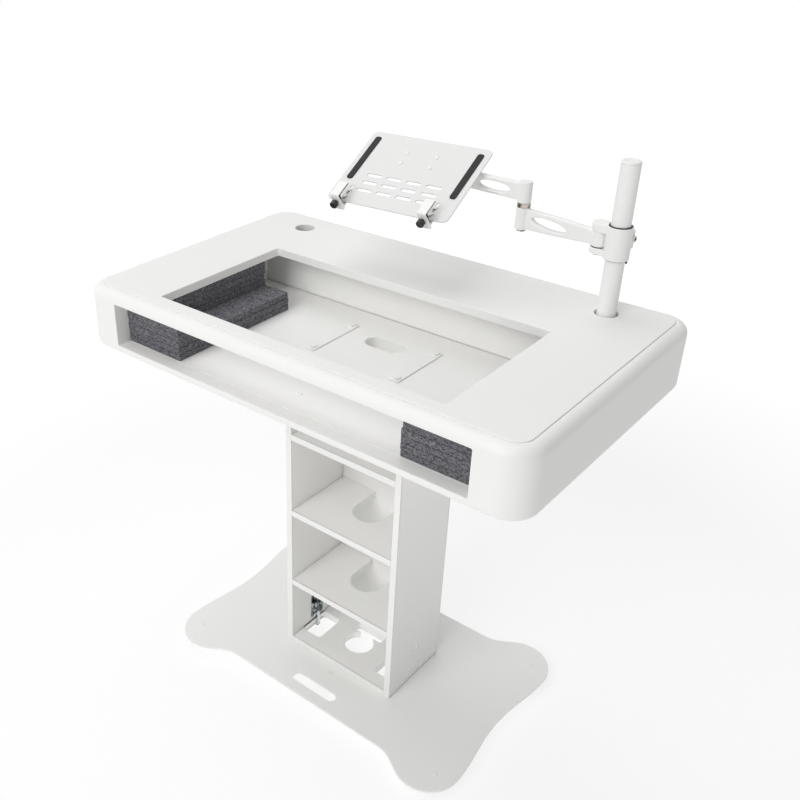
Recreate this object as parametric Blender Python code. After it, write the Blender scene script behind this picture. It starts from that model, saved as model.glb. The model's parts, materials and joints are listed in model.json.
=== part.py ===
"""White knock-down podium for a disc jockey, with a laptop arm on a mast.

Steel foot plate, shelf tower held down by two toggle latches, hollow table top with a cut-out for
a console, and a two-link arm that slides and turns on a mast and carries a tilting laptop tray.
Metres, +Z up, the floor at z = 0 under the middle of the table. The user stands at -Y.
"""
import math

import bmesh
import bpy
import numpy as np
from mathutils import Matrix, Vector

# Fits
GAP = 0.0003
RUNNING = 0.0003
PIN_CLEARANCE = 0.0003
SCREW_CLEARANCE = 0.0005

# Foot plate and feet
FOOT_HEIGHT = 0.025
FOOT_RADIUS = 0.019
FOOT_TAPER = 0.002
FOOT_SCREW_RADIUS = 0.0027
FOOT_SCREW_HEAD_RADIUS = 0.0062
FOOT_SCREW_HEAD_HEIGHT = 0.0016
FOOT_X = 0.346
FOOT_Y = 0.203
FOOT_FRONT_Y = -0.125
PLATE_THICKNESS = 0.005
PLATE_WAIST_X = 0.374
PLATE_LOBE_X = 0.3915
PLATE_LOBE_SIDE_Y = 0.185
PLATE_LOBE_END_X = 0.318
PLATE_LOBE_Y = 0.2625
PLATE_STRAIGHT_X = 0.212
PLATE_STRAIGHT_Y = 0.2215
HAND_SLOT_LENGTH = 0.122
HAND_SLOT_WIDTH = 0.024
HAND_SLOT_Y = -0.180

# Tower
BOARD = 0.015
BACK_BOARD = 0.012
TOWER_WIDTH = 0.304
TOWER_DEPTH = 0.196
TOWER_HEIGHT = 0.7774
SHELF_LEVELS = {"lower": 0.192, "middle": 0.391, "upper": 0.592}
SHELF_NOTCH_RADIUS = 0.039
SHELF_NOTCH_Y = 0.012
LATCH_HOLE_WIDTH = 0.052
LATCH_HOLE_LENGTH = 0.083
LATCH_HOLE_CORNER = 0.009
LATCH_HOLE_EDGE = 0.0028
LATCH_HOLE_Y = -0.020
KEYHOLE_RADIUS = 0.036
KEYHOLE_Y = -0.010
KEYHOLE_BAR_WIDTH = 0.082
KEYHOLE_BAR_FRONT_Y = 0.021
KEYHOLE_BAR_BACK_Y = 0.046
CABLE_HOLE_LENGTH = 0.090
CABLE_HOLE_WIDTH = 0.044
CABLE_HOLE_Y = 0.040
TABLE_BOLT_RADIUS = 0.004
TABLE_BOLT_HEAD_RADIUS = 0.009
TABLE_BOLT_HEAD_HEIGHT = 0.0035
TABLE_BOLT_X = 0.105
TABLE_BOLT_Y = 0.066
STRAP_WIDTH = 0.024
STRAP_THICKNESS = 0.003

# Toggle latches on the inside of the tower's sides
LATCH_Y = -0.005
LATCH_CAM_HEIGHT = 0.068
LATCH_PLATE_WIDTH = 0.044
LATCH_PLATE_HEIGHT = 0.070
LATCH_PLATE_DROP = 0.010
LATCH_SHEET = 0.0016
LATCH_RIVET_RADIUS = 0.0022
LATCH_RIVET_HEAD_RADIUS = 0.0042
LATCH_RIVET_HEAD_HEIGHT = 0.0015
LATCH_RIVET_SPAN_Y = 0.026
LATCH_RIVET_SPAN_Z = 0.052
LATCH_RAIL_THICKNESS = 0.0018
LATCH_RAIL_HEIGHT = 0.0052
LATCH_RAIL_LENGTH = 0.026
HOOK_WIDTH = 0.010
HOOK_THICKNESS = 0.003
HOOK_STANDOFF = 0.0015
HOOK_FRAME_SIDE = 0.0032
HOOK_TONGUE_HEIGHT = 0.0045
HOOK_TONGUE_REACH = 0.009
CAM_RADIUS = 0.0055
CAM_OFFSET = 0.0025
CAM_SLACK = 0.0008
STUD_RADIUS = 0.0020
STUD_HEAD_RADIUS = 0.0042
STUD_HEAD_HEIGHT = 0.0012
WING_LENGTH = 0.036
WING_WIDTH = 0.016
WING_THICKNESS = 0.002
WING_LIP_HEIGHT = 0.006

# Table top
TABLE_LENGTH = 1.032
TABLE_DEPTH = 0.632
TABLE_THICKNESS = 0.136
TABLE_CORNER = 0.054
RIM_WALL = 0.030
RIM_TOP_ROUND = 0.020
RIM_BOTTOM_ROUND = 0.014
PANEL_INSET = 0.0238
PANEL_RISE = 0.002
PANEL_THICKNESS = 0.018
PANEL_EDGE = 0.0014
FLOOR_THICKNESS = 0.020
SLOT_FROM_END = 0.097
SLOT_LENGTH = TABLE_LENGTH - 2 * SLOT_FROM_END
SLOT_HEIGHT = 0.092
CUTOUT_LENGTH = 0.668
CUTOUT_DEPTH = 0.350
CUTOUT_FROM_FRONT = 0.054
CUTOUT_Y = CUTOUT_FROM_FRONT + CUTOUT_DEPTH / 2 - TABLE_DEPTH / 2
CUTOUT_CORNER = 0.004
CONSOLE_DEPTH_BELOW = 0.068
END_BOARD = 0.016
BAY_BACK_FROM_BACK = 0.171
BAY_BACK_Y = TABLE_DEPTH / 2 - BAY_BACK_FROM_BACK

# Foam stacks in the storage bay
FOAM_WIDTH = 0.1500
FOAM_DEPTH = 0.330
FOAM_SETBACK = 0.0025
FOAM_LAYERS = 7
FOAM_LAYER = 0.0138
FOAM_GROOVE = 0.0010
FOAM_SINK = 0.0002
FOAM_PLAY = 0.0010
CONSOLE_PLAY = 0.002

# Mast
MAST_FROM_END = 0.142
MAST_FROM_BACK = 0.0874
MAST_X = TABLE_LENGTH / 2 - MAST_FROM_END
MAST_Y = TABLE_DEPTH / 2 - MAST_FROM_BACK
MAST_RADIUS = 0.018
MAST_WALL = 0.0025
MAST_RISE = 0.291
MAST_HOLE_RADIUS = 0.0225
MAST_CAP_HEIGHT = 0.004
MAST_CAP_PLUG = 0.012
SOCKET_FLANGE_RADIUS = 0.045
SOCKET_FLANGE_THICKNESS = 0.004
SOCKET_WALL = 0.003
SOCKET_HEIGHT = 0.060
SOCKET_SCREW_CIRCLE = 0.034
SOCKET_SCREW_RADIUS = 0.0022
SOCKET_SCREW_HEAD_RADIUS = 0.0044
SOCKET_SCREW_HEAD_HEIGHT = 0.0022
SOCKET_SCREW_SINK = 0.0004

# Collar on the mast
COLLAR_RISE = 0.110
COLLAR_HEIGHT = 0.062
COLLAR_RADIUS = 0.0236
COLLAR_YAW = 173.0
BUSH_WALL = 0.0024
BUSH_PROUD = 0.0015
SHOULDER_REACH = 0.0382
EAR_RADIUS = 0.0165
LOWER_EAR_LEVEL = 0.0016
LOWER_EAR_HEIGHT = 0.0112
UPPER_EAR_LEVEL = 0.0445
UPPER_EAR_HEIGHT = 0.0155
LUG_THICKNESS = 0.007
LUG_REACH = 0.037
LUG_LEVEL = 0.014
LUG_HEIGHT = 0.034
SLIT_WIDTH = 0.0106
CLAMP_BOLT_RADIUS = 0.003
CLAMP_BOLT_REACH = 0.029
CLAMP_BOLT_LEVEL = 0.033
CLAMP_HEAD_RADIUS = 0.0065
CLAMP_HEAD_THICKNESS = 0.0045
LEVER_HUB_RADIUS = 0.0068
LEVER_LENGTH = 0.050
LEVER_CRANK = 0.006
LEVER_TIP_RADIUS = 0.0030

# Arm links
PIVOT_PIN_RADIUS = 0.005
PIVOT_HEAD_RADIUS = 0.0090
PIVOT_HEAD_HEIGHT = 0.0040
BARREL_RADIUS = 0.0138
BARREL_ROUND = 0.0020
SHOULDER_WASHER = 0.0010
LINK_THICKNESS = 0.014
LINK_ROUND = 0.004
LOWER_ARM_LENGTH = 0.1665
LOWER_ARM_YAW = 176.3
ELBOW_DROP = 0.0058
ELBOW_HEIGHT = 0.0440
ELBOW_RING_HEIGHT = 0.0080
ELBOW_RING_RADIUS = 0.0132
UPPER_ARM_LENGTH = 0.236
UPPER_ARM_YAW = 175.6
UPPER_BARREL_HEIGHT = 0.0420
WINDOW_LENGTH = 0.075
WINDOW_HEIGHT = 0.0176
WINDOW_FROM_ELBOW = 0.0615
WINDOW_SLOPE = 5.0

# Wrist, tilt hinge and laptop tray
TRAY_YAW = 4.18
TRAY_TILT = 27.7
WRIST_DISC_RADIUS = 0.016
WRIST_DISC_THICKNESS = 0.0032
WRIST_NUT_RADIUS = 0.0085
WRIST_NUT_CAP = 0.003
TILT_RISE = 0.0133
TILT_EYE_RADIUS = 0.0078
TILT_EYE_WIDTH = 0.026
TILT_WEB = 0.010
TILT_PIN_RADIUS = 0.003
TILT_PIN_HEAD_RADIUS = 0.0055
TILT_PIN_HEAD_THICKNESS = 0.003
CHEEK_THICKNESS = 0.004
CHEEK_RADIUS = 0.008
TRAY_LIFT = 0.009
TRAY_THICKNESS = 0.003
TRAY_WIDTH = 0.280
TRAY_FRONT = -0.190
TRAY_BACK = 0.020
TRAY_CORNER = 0.014
BRACKET_WIDTH = 0.092
BRACKET_FRONT = -0.070
BRACKET_THICKNESS = 0.003
TRAY_SCREW_X = 0.034
TRAY_SCREW_ROWS = (-0.058, -0.026)
TRAY_SCREW_RADIUS = 0.002
TRAY_SCREW_HEAD_RADIUS = 0.0042
TRAY_SCREW_HEAD_HEIGHT = 0.0013
VENT_COLUMNS = 4
VENT_ROWS = 3
VENT_LENGTH = 0.034
VENT_WIDTH = 0.008
VENT_PITCH_X = 0.046
VENT_PITCH_Y = 0.022
VENT_FRONT_Y = -0.150
PAD_LENGTH = 0.130
PAD_WIDTH = 0.014
PAD_HEIGHT = 0.002
PAD_X = 0.120
PAD_Y = -0.062

# Edge clamps on the tray's front
LAPTOP_THICKNESS = 0.024
LAPTOP_FRONT = -0.1985
CLAMP_X = 0.100
CLAMP_WIDTH = 0.020
CLAMP_SHEET = 0.0025
CLAMP_FOOT_LENGTH = 0.050
CLAMP_LIP_LENGTH = 0.033
CLAMP_TAB_RISE = 0.017
CLAMP_WALL_FOOT = 0.003
CLAMP_FLARE = 0.006
LINER = 0.0012
GUIDE_STUD_RADIUS = 0.0025
GUIDE_HEAD_RADIUS = 0.0045
GUIDE_HEAD_HEIGHT = 0.0010
GUIDE_SPACING = 0.018
GUIDE_TRAVEL = 0.010
KNOB_RADIUS = 0.0082
KNOB_LENGTH = 0.010
KNOB_NECK_RADIUS = 0.0045
KNOB_NECK_LENGTH = 0.003
KNOB_SCREW_RADIUS = 0.0022
KNOB_RISE = 0.012
HOOK_TRAVEL = 0.006

ROUND_STEPS = 20

# Levels and places worked out from the sizes above
PLATE_TOP = FOOT_HEIGHT + PLATE_THICKNESS
TOWER_BOTTOM = PLATE_TOP + GAP
TOWER_TOP = TOWER_BOTTOM + TOWER_HEIGHT
TABLE_BOTTOM = TOWER_TOP + GAP
TABLE_TOP = TABLE_BOTTOM + TABLE_THICKNESS
FLOOR_TOP = TABLE_BOTTOM + FLOOR_THICKNESS
PANEL_BOTTOM = TABLE_TOP - PANEL_THICKNESS
LEDGE = PANEL_BOTTOM - GAP
TOWER_INSIDE_X = TOWER_WIDTH / 2 - BOARD
TOWER_BACK_INSIDE_Y = TOWER_DEPTH / 2 - BACK_BOARD
CAM_LEVEL = PLATE_TOP + LATCH_CAM_HEIGHT
RIM_INSIDE_Y = TABLE_DEPTH / 2 - RIM_WALL
MAST_TOP = TABLE_TOP + MAST_RISE
COLLAR_BOTTOM = TABLE_TOP + COLLAR_RISE
ARM_LEVEL = COLLAR_BOTTOM + LOWER_EAR_LEVEL + LOWER_EAR_HEIGHT
MAST_AXIS = Vector((MAST_X, MAST_Y, 0.0))


def bearing(degrees):
    """Unit vector along the ground at this angle from +X."""
    angle = math.radians(degrees)
    return Vector((math.cos(angle), math.sin(angle), 0.0))


SHOULDER = MAST_AXIS + SHOULDER_REACH * bearing(COLLAR_YAW)
ELBOW = SHOULDER + LOWER_ARM_LENGTH * bearing(LOWER_ARM_YAW)
WRIST = ELBOW + UPPER_ARM_LENGTH * bearing(UPPER_ARM_YAW)
LOWER_BARREL_TOP = ARM_LEVEL - ELBOW_DROP + ELBOW_HEIGHT
UPPER_BARREL_LOW = LOWER_BARREL_TOP + ELBOW_RING_HEIGHT + 2 * GAP
UPPER_BARREL_TOP = UPPER_BARREL_LOW + UPPER_BARREL_HEIGHT
TILT_LEVEL = UPPER_BARREL_TOP + TILT_RISE


# Outlines: lists of (u, v) points, anticlockwise
def arc(centre, radius, start, end, steps):
    """Points on a circle from the start angle to the end angle, both in degrees."""
    angles = np.radians(np.linspace(start, end, steps + 1))
    return [(centre[0] + radius * math.cos(a), centre[1] + radius * math.sin(a)) for a in angles]


def circle(radius, centre=(0.0, 0.0), steps=ROUND_STEPS):
    """A full circle."""
    return arc(centre, radius, 0.0, 360.0 * (1 - 1 / steps), steps - 1)


def rounded_rectangle(low, high, radius, steps=5):
    """A rectangle between two corners, with quarter-circle corners."""
    (u0, v0), (u1, v1) = low, high
    centres = ((u1 - radius, v1 - radius), (u0 + radius, v1 - radius),
               (u0 + radius, v0 + radius), (u1 - radius, v0 + radius))
    points = []
    for quarter, centre in enumerate(centres):
        points += arc(centre, radius, 90.0 * quarter, 90.0 * (quarter + 1), steps)
    return points


def rectangle(low, high):
    """A rectangle with sharp corners."""
    return [(low[0], low[1]), (high[0], low[1]), (high[0], high[1]), (low[0], high[1])]


def centred(length, width, radius, centre=(0.0, 0.0), steps=5):
    """A rounded rectangle about its centre."""
    u, v = centre
    return rounded_rectangle((u - length / 2, v - width / 2), (u + length / 2, v + width / 2), radius, steps)


def bezier(start, first, second, end, steps):
    """Points of a cubic curve, without its end point."""
    t = np.linspace(0.0, 1.0, steps, endpoint=False)[:, None]
    start, first, second, end = (np.array(p) for p in (start, first, second, end))
    curve = (1 - t) ** 3 * start + 3 * (1 - t) ** 2 * t * first + 3 * (1 - t) * t ** 2 * second + t ** 3 * end
    return [tuple(p) for p in curve]


def offset(outline, distance):
    """The outline moved inwards by a distance, with mitred corners."""
    points = np.array(outline)
    forward = np.roll(points, -1, axis=0) - points
    forward /= np.linalg.norm(forward, axis=1)[:, None]
    normal = np.stack([-forward[:, 1], forward[:, 0]], axis=1)
    both = normal + np.roll(normal, 1, axis=0)
    both /= (both * normal).sum(axis=1)[:, None]
    return [tuple(p) for p in points + distance * both]


# Solids
def edge_levels(low, high, low_round, high_round, steps):
    """Insets and levels of a plate's rim, from its bottom face to its top face."""
    quarter = np.linspace(0.0, math.pi / 2, steps + 1)
    levels = [(0.0, low)]
    if low_round:
        levels = [(low_round * (1 - math.sin(a)), low + low_round * (1 - math.cos(a))) for a in quarter]
    if high_round:
        return levels + [(high_round * (1 - math.cos(a)), high - high_round * (1 - math.sin(a))) for a in quarter]
    return levels + [(0.0, high)]


def wall(shape, rows, outward):
    """Joins rows of vertices into a closed wall."""
    for lower, upper in zip(rows, rows[1:]):
        for i in range(len(lower)):
            j = (i + 1) % len(lower)
            corners = (lower[i], lower[j], upper[j], upper[i])
            shape.faces.new(corners if outward else corners[::-1])


def plate(outline, holes, low, high, low_round=0.0, high_round=0.0, steps=2):
    """A flat solid with this outline and these holes, and rounded rims where asked."""
    shape = bmesh.new()
    levels = edge_levels(low, high, low_round, high_round, steps)
    bottom_edges, top_edges = [], []
    for loop, sign in [(outline, 1.0)] + [(hole, -1.0) for hole in holes]:
        rows = []
        for inset, level in levels:
            ring = offset(loop, sign * inset) if inset else loop
            rows.append([shape.verts.new((u, v, level)) for u, v in ring])
        wall(shape, rows, sign > 0)
        for row, edges in ((rows[0], bottom_edges), (rows[-1], top_edges)):
            edges += [shape.edges.get((row[i], row[(i + 1) % len(row)])) for i in range(len(row))]
    bmesh.ops.triangle_fill(shape, use_beauty=True, edges=bottom_edges, normal=(0, 0, -1))
    bmesh.ops.triangle_fill(shape, use_beauty=True, edges=top_edges, normal=(0, 0, 1))
    bmesh.ops.recalc_face_normals(shape, faces=shape.faces[:])
    return shape


def turned(profile, steps=ROUND_STEPS):
    """A solid turned about Z. A profile that leaves the axis is closed on itself as a ring."""
    solid = profile[0][0] == 0.0
    flat_start = solid and profile[0][1] == profile[1][1]
    flat_end = solid and profile[-1][1] == profile[-2][1]
    profile = profile[1:] if flat_start else profile
    profile = profile[:-1] if flat_end else profile
    shape = bmesh.new()
    angles = np.linspace(0.0, 2 * math.pi, steps, endpoint=False)
    rings = []
    for radius, level in profile:
        if radius == 0.0:
            rings.append([shape.verts.new((0.0, 0.0, level))])
        else:
            rings.append([shape.verts.new((radius * math.cos(a), radius * math.sin(a), level)) for a in angles])
    pairs = list(zip(rings, rings[1:]))
    if not solid:
        pairs.append((rings[-1], rings[0]))
    if flat_start:
        shape.faces.new(rings[0])
    if flat_end:
        shape.faces.new(rings[-1])
    for first, second in pairs:
        for i in range(steps):
            j = (i + 1) % steps
            corners = [first[i % len(first)], first[j % len(first)], second[j % len(second)], second[i % len(second)]]
            shape.faces.new(list(dict.fromkeys(corners)))
    bmesh.ops.recalc_face_normals(shape, faces=shape.faces[:])
    return shape


def drum(radius, low, high, edge=0.0, steps=ROUND_STEPS):
    """A round solid about Z with rounded rims."""
    levels = edge_levels(low, high, edge, edge, 1)
    profile = [(0.0, low)] + [(radius - inset, level) for inset, level in levels] + [(0.0, high)]
    return turned(profile, steps)


def sleeve(outer, inner, low, high, steps=ROUND_STEPS):
    """A ring about Z with square rims."""
    return turned([(inner, low), (outer, low), (outer, high), (inner, high)], steps)


def block(low, high):
    """A box between two corners."""
    return plate(rectangle(low[:2], high[:2]), [], low[2], high[2])


# The three ways that a flat shape or a turned one is stood up
STANDING_ACROSS = Matrix(((0, 0, 1, 0), (1, 0, 0, 0), (0, 1, 0, 0), (0, 0, 0, 1)))
STANDING_ALONG = Matrix(((1, 0, 0, 0), (0, 0, -1, 0), (0, 1, 0, 0), (0, 0, 0, 1)))
MIRRORED_X = Matrix.Diagonal((-1, 1, 1, 1))


def moved(shape, matrix):
    """The shape under a matrix, turned right side out again if that mirrors it."""
    shape.transform(matrix)
    if matrix.determinant() < 0:
        bmesh.ops.reverse_faces(shape, faces=shape.faces[:])
    return shape


def shifted(shape, x=0.0, y=0.0, z=0.0):
    """The shape moved along the axes."""
    return moved(shape, Matrix.Translation((x, y, z)))


def holder(name, shape):
    """A scene object for a shape."""
    mesh = bpy.data.meshes.new(name)
    shape.to_mesh(mesh)
    shape.free()
    thing = bpy.data.objects.new(name, mesh)
    bpy.context.collection.objects.link(thing)
    return thing


def carved(shape, tools):
    """The shape after joining or cutting it with each (operation, tool) in turn."""
    body = holder("body", shape)
    for operation, tool_shape in tools:
        tool = holder("cutter", tool_shape)
        step = body.modifiers.new("step", "BOOLEAN")
        step.operation = operation
        step.solver = "EXACT"
        step.object = tool
        graph = bpy.context.evaluated_depsgraph_get()
        result = bpy.data.meshes.new_from_object(body.evaluated_get(graph))
        body.modifiers.clear()
        body.data = result
        bpy.data.objects.remove(tool)
    finished = bmesh.new()
    finished.from_mesh(body.data)
    bpy.data.objects.remove(body)
    return finished


# Materials: colour as sRGB hex, roughness, metallic
FINISHES = {
    "powder_coat": ("F1F0EE", 0.45, 0.0),
    "white_board": ("F0EFEC", 0.50, 0.0),
    "white_top": ("F2F1EF", 0.45, 0.0),
    "white_arm": ("F0EFED", 0.40, 0.0),
    "rubber": ("1B1B1C", 0.85, 0.0),
    "zinc": ("AEB6BC", 0.35, 1.0),
    "nickel": ("B9AE9A", 0.25, 1.0),
    "foam": ("3B3B3F", 0.95, 0.0),
    "black_plastic": ("161617", 0.45, 0.0),
}


def linear(value):
    """One sRGB channel as linear light."""
    return value / 12.92 if value <= 0.04045 else ((value + 0.055) / 1.055) ** 2.4


def coat(name, finish):
    """A material for one piece."""
    colour, roughness, metallic = FINISHES[finish]
    channels = [linear(int(colour[i:i + 2], 16) / 255) for i in (0, 2, 4)]
    material = bpy.data.materials.new(name)
    material.use_nodes = True
    shader = material.node_tree.nodes["Principled BSDF"]
    shader.inputs["Base Color"].default_value = (*channels, 1.0)
    shader.inputs["Roughness"].default_value = roughness
    shader.inputs["Metallic"].default_value = metallic
    return material


def piece(name, shape, finish, place=(0.0, 0.0, 0.0), yaw=0.0, parent=None):
    """A finished sub-part, placed and shaded."""
    thing = holder(name, shape)
    thing.data.materials.append(coat(name, finish))
    thing.data.shade_smooth()
    thing.data.set_sharp_from_angle(angle=math.radians(32))
    thing.location = place
    thing.rotation_euler = (0.0, 0.0, math.radians(yaw))
    thing.parent = parent
    return thing


def screw(radius, depth, head_radius, head_height, steps=14):
    """A domed screw about Z whose head rests on z = 0."""
    return turned([(0.0, -depth), (radius, -depth), (radius, 0.0), (head_radius, 0.0),
                   (head_radius, head_height * 0.4), (head_radius * 0.7, head_height), (0.0, head_height)], steps)


# Foot plate
def plate_quarter():
    """A quarter of the foot plate's edge, from its waist round a lobe to its straight front."""
    side = (PLATE_LOBE_X, PLATE_LOBE_SIDE_Y)
    end = (PLATE_LOBE_END_X, PLATE_LOBE_Y)
    straight = (PLATE_STRAIGHT_X, PLATE_STRAIGHT_Y)
    rise = PLATE_LOBE_Y - PLATE_LOBE_SIDE_Y
    reach = PLATE_LOBE_X - PLATE_LOBE_END_X
    run = PLATE_LOBE_END_X - PLATE_STRAIGHT_X
    points = bezier((PLATE_WAIST_X, 0.0), (PLATE_WAIST_X, 0.4 * PLATE_LOBE_SIDE_Y),
                    (PLATE_LOBE_X, 0.6 * PLATE_LOBE_SIDE_Y), side, 7)
    points += bezier(side, (side[0], side[1] + 0.55 * rise), (end[0] + 0.55 * reach, end[1]), end, 9)
    points += bezier(end, (end[0] - 0.42 * run, end[1]), (straight[0] + 0.42 * run, straight[1]), straight, 7)
    return points + [straight]


def plate_outline():
    """The whole edge, mirrored from one quarter."""
    quarter = plate_quarter()
    left = [(-x, y) for x, y in quarter[::-1]][:-1]
    half = quarter + left
    return half + [(-x, -y) for x, y in half]


def latch_hole(side):
    """The hole beside a tower side that its latch hook reaches down through."""
    outer = TOWER_INSIDE_X - LATCH_HOLE_EDGE
    centre = side * (outer - LATCH_HOLE_WIDTH / 2)
    return centred(LATCH_HOLE_WIDTH, LATCH_HOLE_LENGTH, LATCH_HOLE_CORNER, (centre, LATCH_HOLE_Y), 3)


def keyhole():
    """The middle hole: a circle that runs into a bar behind it."""
    half = KEYHOLE_BAR_WIDTH / 2
    corner = 0.006
    neck = math.degrees(math.asin((KEYHOLE_BAR_FRONT_Y - KEYHOLE_Y) / KEYHOLE_RADIUS))
    points = arc((0.0, KEYHOLE_Y), KEYHOLE_RADIUS, 180.0 - neck, 360.0 + neck, 18)
    points += arc((half - corner, KEYHOLE_BAR_FRONT_Y + corner), corner, -90.0, 0.0, 3)
    points += arc((half - corner, KEYHOLE_BAR_BACK_Y - corner), corner, 0.0, 90.0, 3)
    points += arc((corner - half, KEYHOLE_BAR_BACK_Y - corner), corner, 90.0, 180.0, 3)
    points += arc((corner - half, KEYHOLE_BAR_FRONT_Y + corner), corner, 180.0, 270.0, 3)
    return points


def foot_places():
    """Centres of the feet by name: the four lobes and the middle of the front."""
    places = {"middle": (0.0, FOOT_FRONT_Y)}
    for row, sy in (("front", -1), ("back", 1)):
        for end, sx in (("left", -1), ("right", 1)):
            places[f"{row}_{end}"] = (sx * FOOT_X, sy * FOOT_Y)
    return places


def make_foot_plate():
    """Steel plate with the latch holes, the keyhole, a hand slot and the feet's screw holes."""
    slot = centred(HAND_SLOT_LENGTH, HAND_SLOT_WIDTH, HAND_SLOT_WIDTH / 2 - 0.0001, (0.0, HAND_SLOT_Y), 6)
    holes = [slot, latch_hole(-1), latch_hole(1), keyhole()]
    holes += [circle(FOOT_SCREW_RADIUS + SCREW_CLEARANCE, at, 12) for at in foot_places().values()]
    piece("base_plate", plate(plate_outline(), holes, FOOT_HEIGHT, PLATE_TOP), "powder_coat")


def make_feet():
    """Rubber feet with a dished sole, each drawn up by a screw through the plate."""
    top = FOOT_HEIGHT - GAP
    sole = FOOT_RADIUS - FOOT_TAPER
    seat = PLATE_TOP + GAP
    head_top = seat + FOOT_SCREW_HEAD_HEIGHT
    profile = [(0.0, 0.003), (0.4 * sole, 0.003), (0.5 * sole, 0.0), (sole, 0.0), (FOOT_RADIUS, 0.3 * top),
               (FOOT_RADIUS, top), (FOOT_SCREW_RADIUS, top), (FOOT_SCREW_RADIUS, seat),
               (FOOT_SCREW_HEAD_RADIUS, seat), (0.7 * FOOT_SCREW_HEAD_RADIUS, head_top), (0.0, head_top)]
    for name, (x, y) in foot_places().items():
        piece(f"base_foot_{name}", turned(profile, 16), "rubber", (x, y, 0.0))


# Tower
def rivet_places():
    """Latch rivets as (y, z), four to each side."""
    middle = CAM_LEVEL - LATCH_PLATE_DROP
    return [(LATCH_Y + sy * LATCH_RIVET_SPAN_Y / 2, middle + sz * LATCH_RIVET_SPAN_Z / 2)
            for sy in (-1, 1) for sz in (-1, 1)]


def make_tower_sides():
    """Side boards, with holes for the latch rivets near the bottom."""
    outline = rectangle((-TOWER_DEPTH / 2, TOWER_BOTTOM), (TOWER_DEPTH / 2, TOWER_TOP))
    holes = [circle(LATCH_RIVET_RADIUS + GAP, at, 8) for at in rivet_places()]
    for name, side in (("left", -1), ("right", 1)):
        low, high = sorted((side * TOWER_INSIDE_X, side * TOWER_WIDTH / 2))
        shape = plate(outline, holes, low, high)
        piece(f"tower_side_{name}", moved(shape, STANDING_ACROSS), "white_board")


def make_tower_back():
    """Back board between the sides."""
    half = TOWER_INSIDE_X - GAP
    outline = rectangle((-half, TOWER_BOTTOM), (half, TOWER_TOP))
    shape = plate(outline, [], -TOWER_DEPTH / 2, -TOWER_BACK_INSIDE_Y)
    piece("tower_back_panel", moved(shape, STANDING_ALONG), "white_board")


def level_board(holes, top, outline=None):
    """A board that lies between the tower's sides and meets its back."""
    half = TOWER_INSIDE_X - GAP
    outline = outline or rectangle((-half, -TOWER_DEPTH / 2), (half, TOWER_BACK_INSIDE_Y - GAP))
    return plate(outline, holes, top - BOARD, top)


def shelf_outline():
    """A shelf whose back edge has a round-ended notch for cables."""
    half = TOWER_INSIDE_X - GAP
    back = TOWER_BACK_INSIDE_Y - GAP
    notch = arc((0.0, SHELF_NOTCH_Y), SHELF_NOTCH_RADIUS, 360.0, 180.0, 16)
    return [(-half, -TOWER_DEPTH / 2), (half, -TOWER_DEPTH / 2), (half, back),
            (SHELF_NOTCH_RADIUS, back)] + notch + [(-SHELF_NOTCH_RADIUS, back), (-half, back)]


def make_tower_boards():
    """Bottom board, three shelves and the top board that the table is bolted to."""
    bottom = level_board([latch_hole(-1), latch_hole(1), keyhole()], TOWER_BOTTOM + BOARD)
    piece("tower_bottom_board", bottom, "white_board")
    for name, level in SHELF_LEVELS.items():
        piece(f"tower_shelf_{name}", level_board([], PLATE_TOP + level, shelf_outline()), "white_board")
    holes = table_bolt_holes() + [cable_hole()]
    piece("tower_top_board", level_board(holes, TOWER_TOP), "white_board")


def table_bolt_places():
    """Where the table is bolted to the tower's top board."""
    return [(sx * TABLE_BOLT_X, sy * TABLE_BOLT_Y) for sx in (-1, 1) for sy in (-1, 1)]


def table_bolt_holes():
    """Clearance holes for those bolts."""
    return [circle(TABLE_BOLT_RADIUS + SCREW_CLEARANCE, at, 14) for at in table_bolt_places()]


def cable_hole():
    """The hole that cables drop through from the table into the tower."""
    return centred(CABLE_HOLE_LENGTH, CABLE_HOLE_WIDTH, CABLE_HOLE_WIDTH / 2 - 0.0001, (0.0, CABLE_HOLE_Y), 6)


def make_table_straps():
    """Straps in the table, each with the two bolts that hold the table down on the tower."""
    seat = FLOOR_TOP + GAP
    top = seat + STRAP_THICKNESS
    for name, side in (("left", -1), ("right", 1)):
        x = side * TABLE_BOLT_X
        length = 2 * TABLE_BOLT_Y + STRAP_WIDTH
        strap = plate(centred(STRAP_WIDTH, length, 0.004, (x, 0.0), 3), [], seat, top)
        tools = []
        for sy in (-1, 1):
            bolt = drum(TABLE_BOLT_RADIUS, TOWER_TOP - BOARD, top - STRAP_THICKNESS / 2, steps=14)
            head = drum(TABLE_BOLT_HEAD_RADIUS, top - STRAP_THICKNESS / 2, top + TABLE_BOLT_HEAD_HEIGHT, steps=6)
            tools += [("UNION", shifted(bolt, x, sy * TABLE_BOLT_Y)), ("UNION", shifted(head, x, sy * TABLE_BOLT_Y))]
        piece(f"table_strap_{name}", carved(strap, tools), "zinc")


# Toggle latches, drawn for the left side with u inwards from the board, then mirrored for the right
LATCH_WALL = -(TOWER_INSIDE_X - GAP)
HOOK_BACK = LATCH_SHEET + HOOK_STANDOFF
CAM_BACK = LATCH_SHEET + 2 * RUNNING
WING_BACK = HOOK_BACK + HOOK_THICKNESS + 2 * RUNNING + 0.0010


def latch_slab(outline, holes, low, high, side):
    """A flat latch part in (y, z), standing between two distances from the board."""
    shape = moved(plate(outline, holes, LATCH_WALL + low, LATCH_WALL + high), STANDING_ACROSS)
    return moved(shape, MIRRORED_X) if side > 0 else shape


def latch_drum(radius, low, high, side, centre, steps=12):
    """A round latch part about X."""
    return latch_slab(circle(radius, centre, steps), [], low, high, side)


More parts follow.
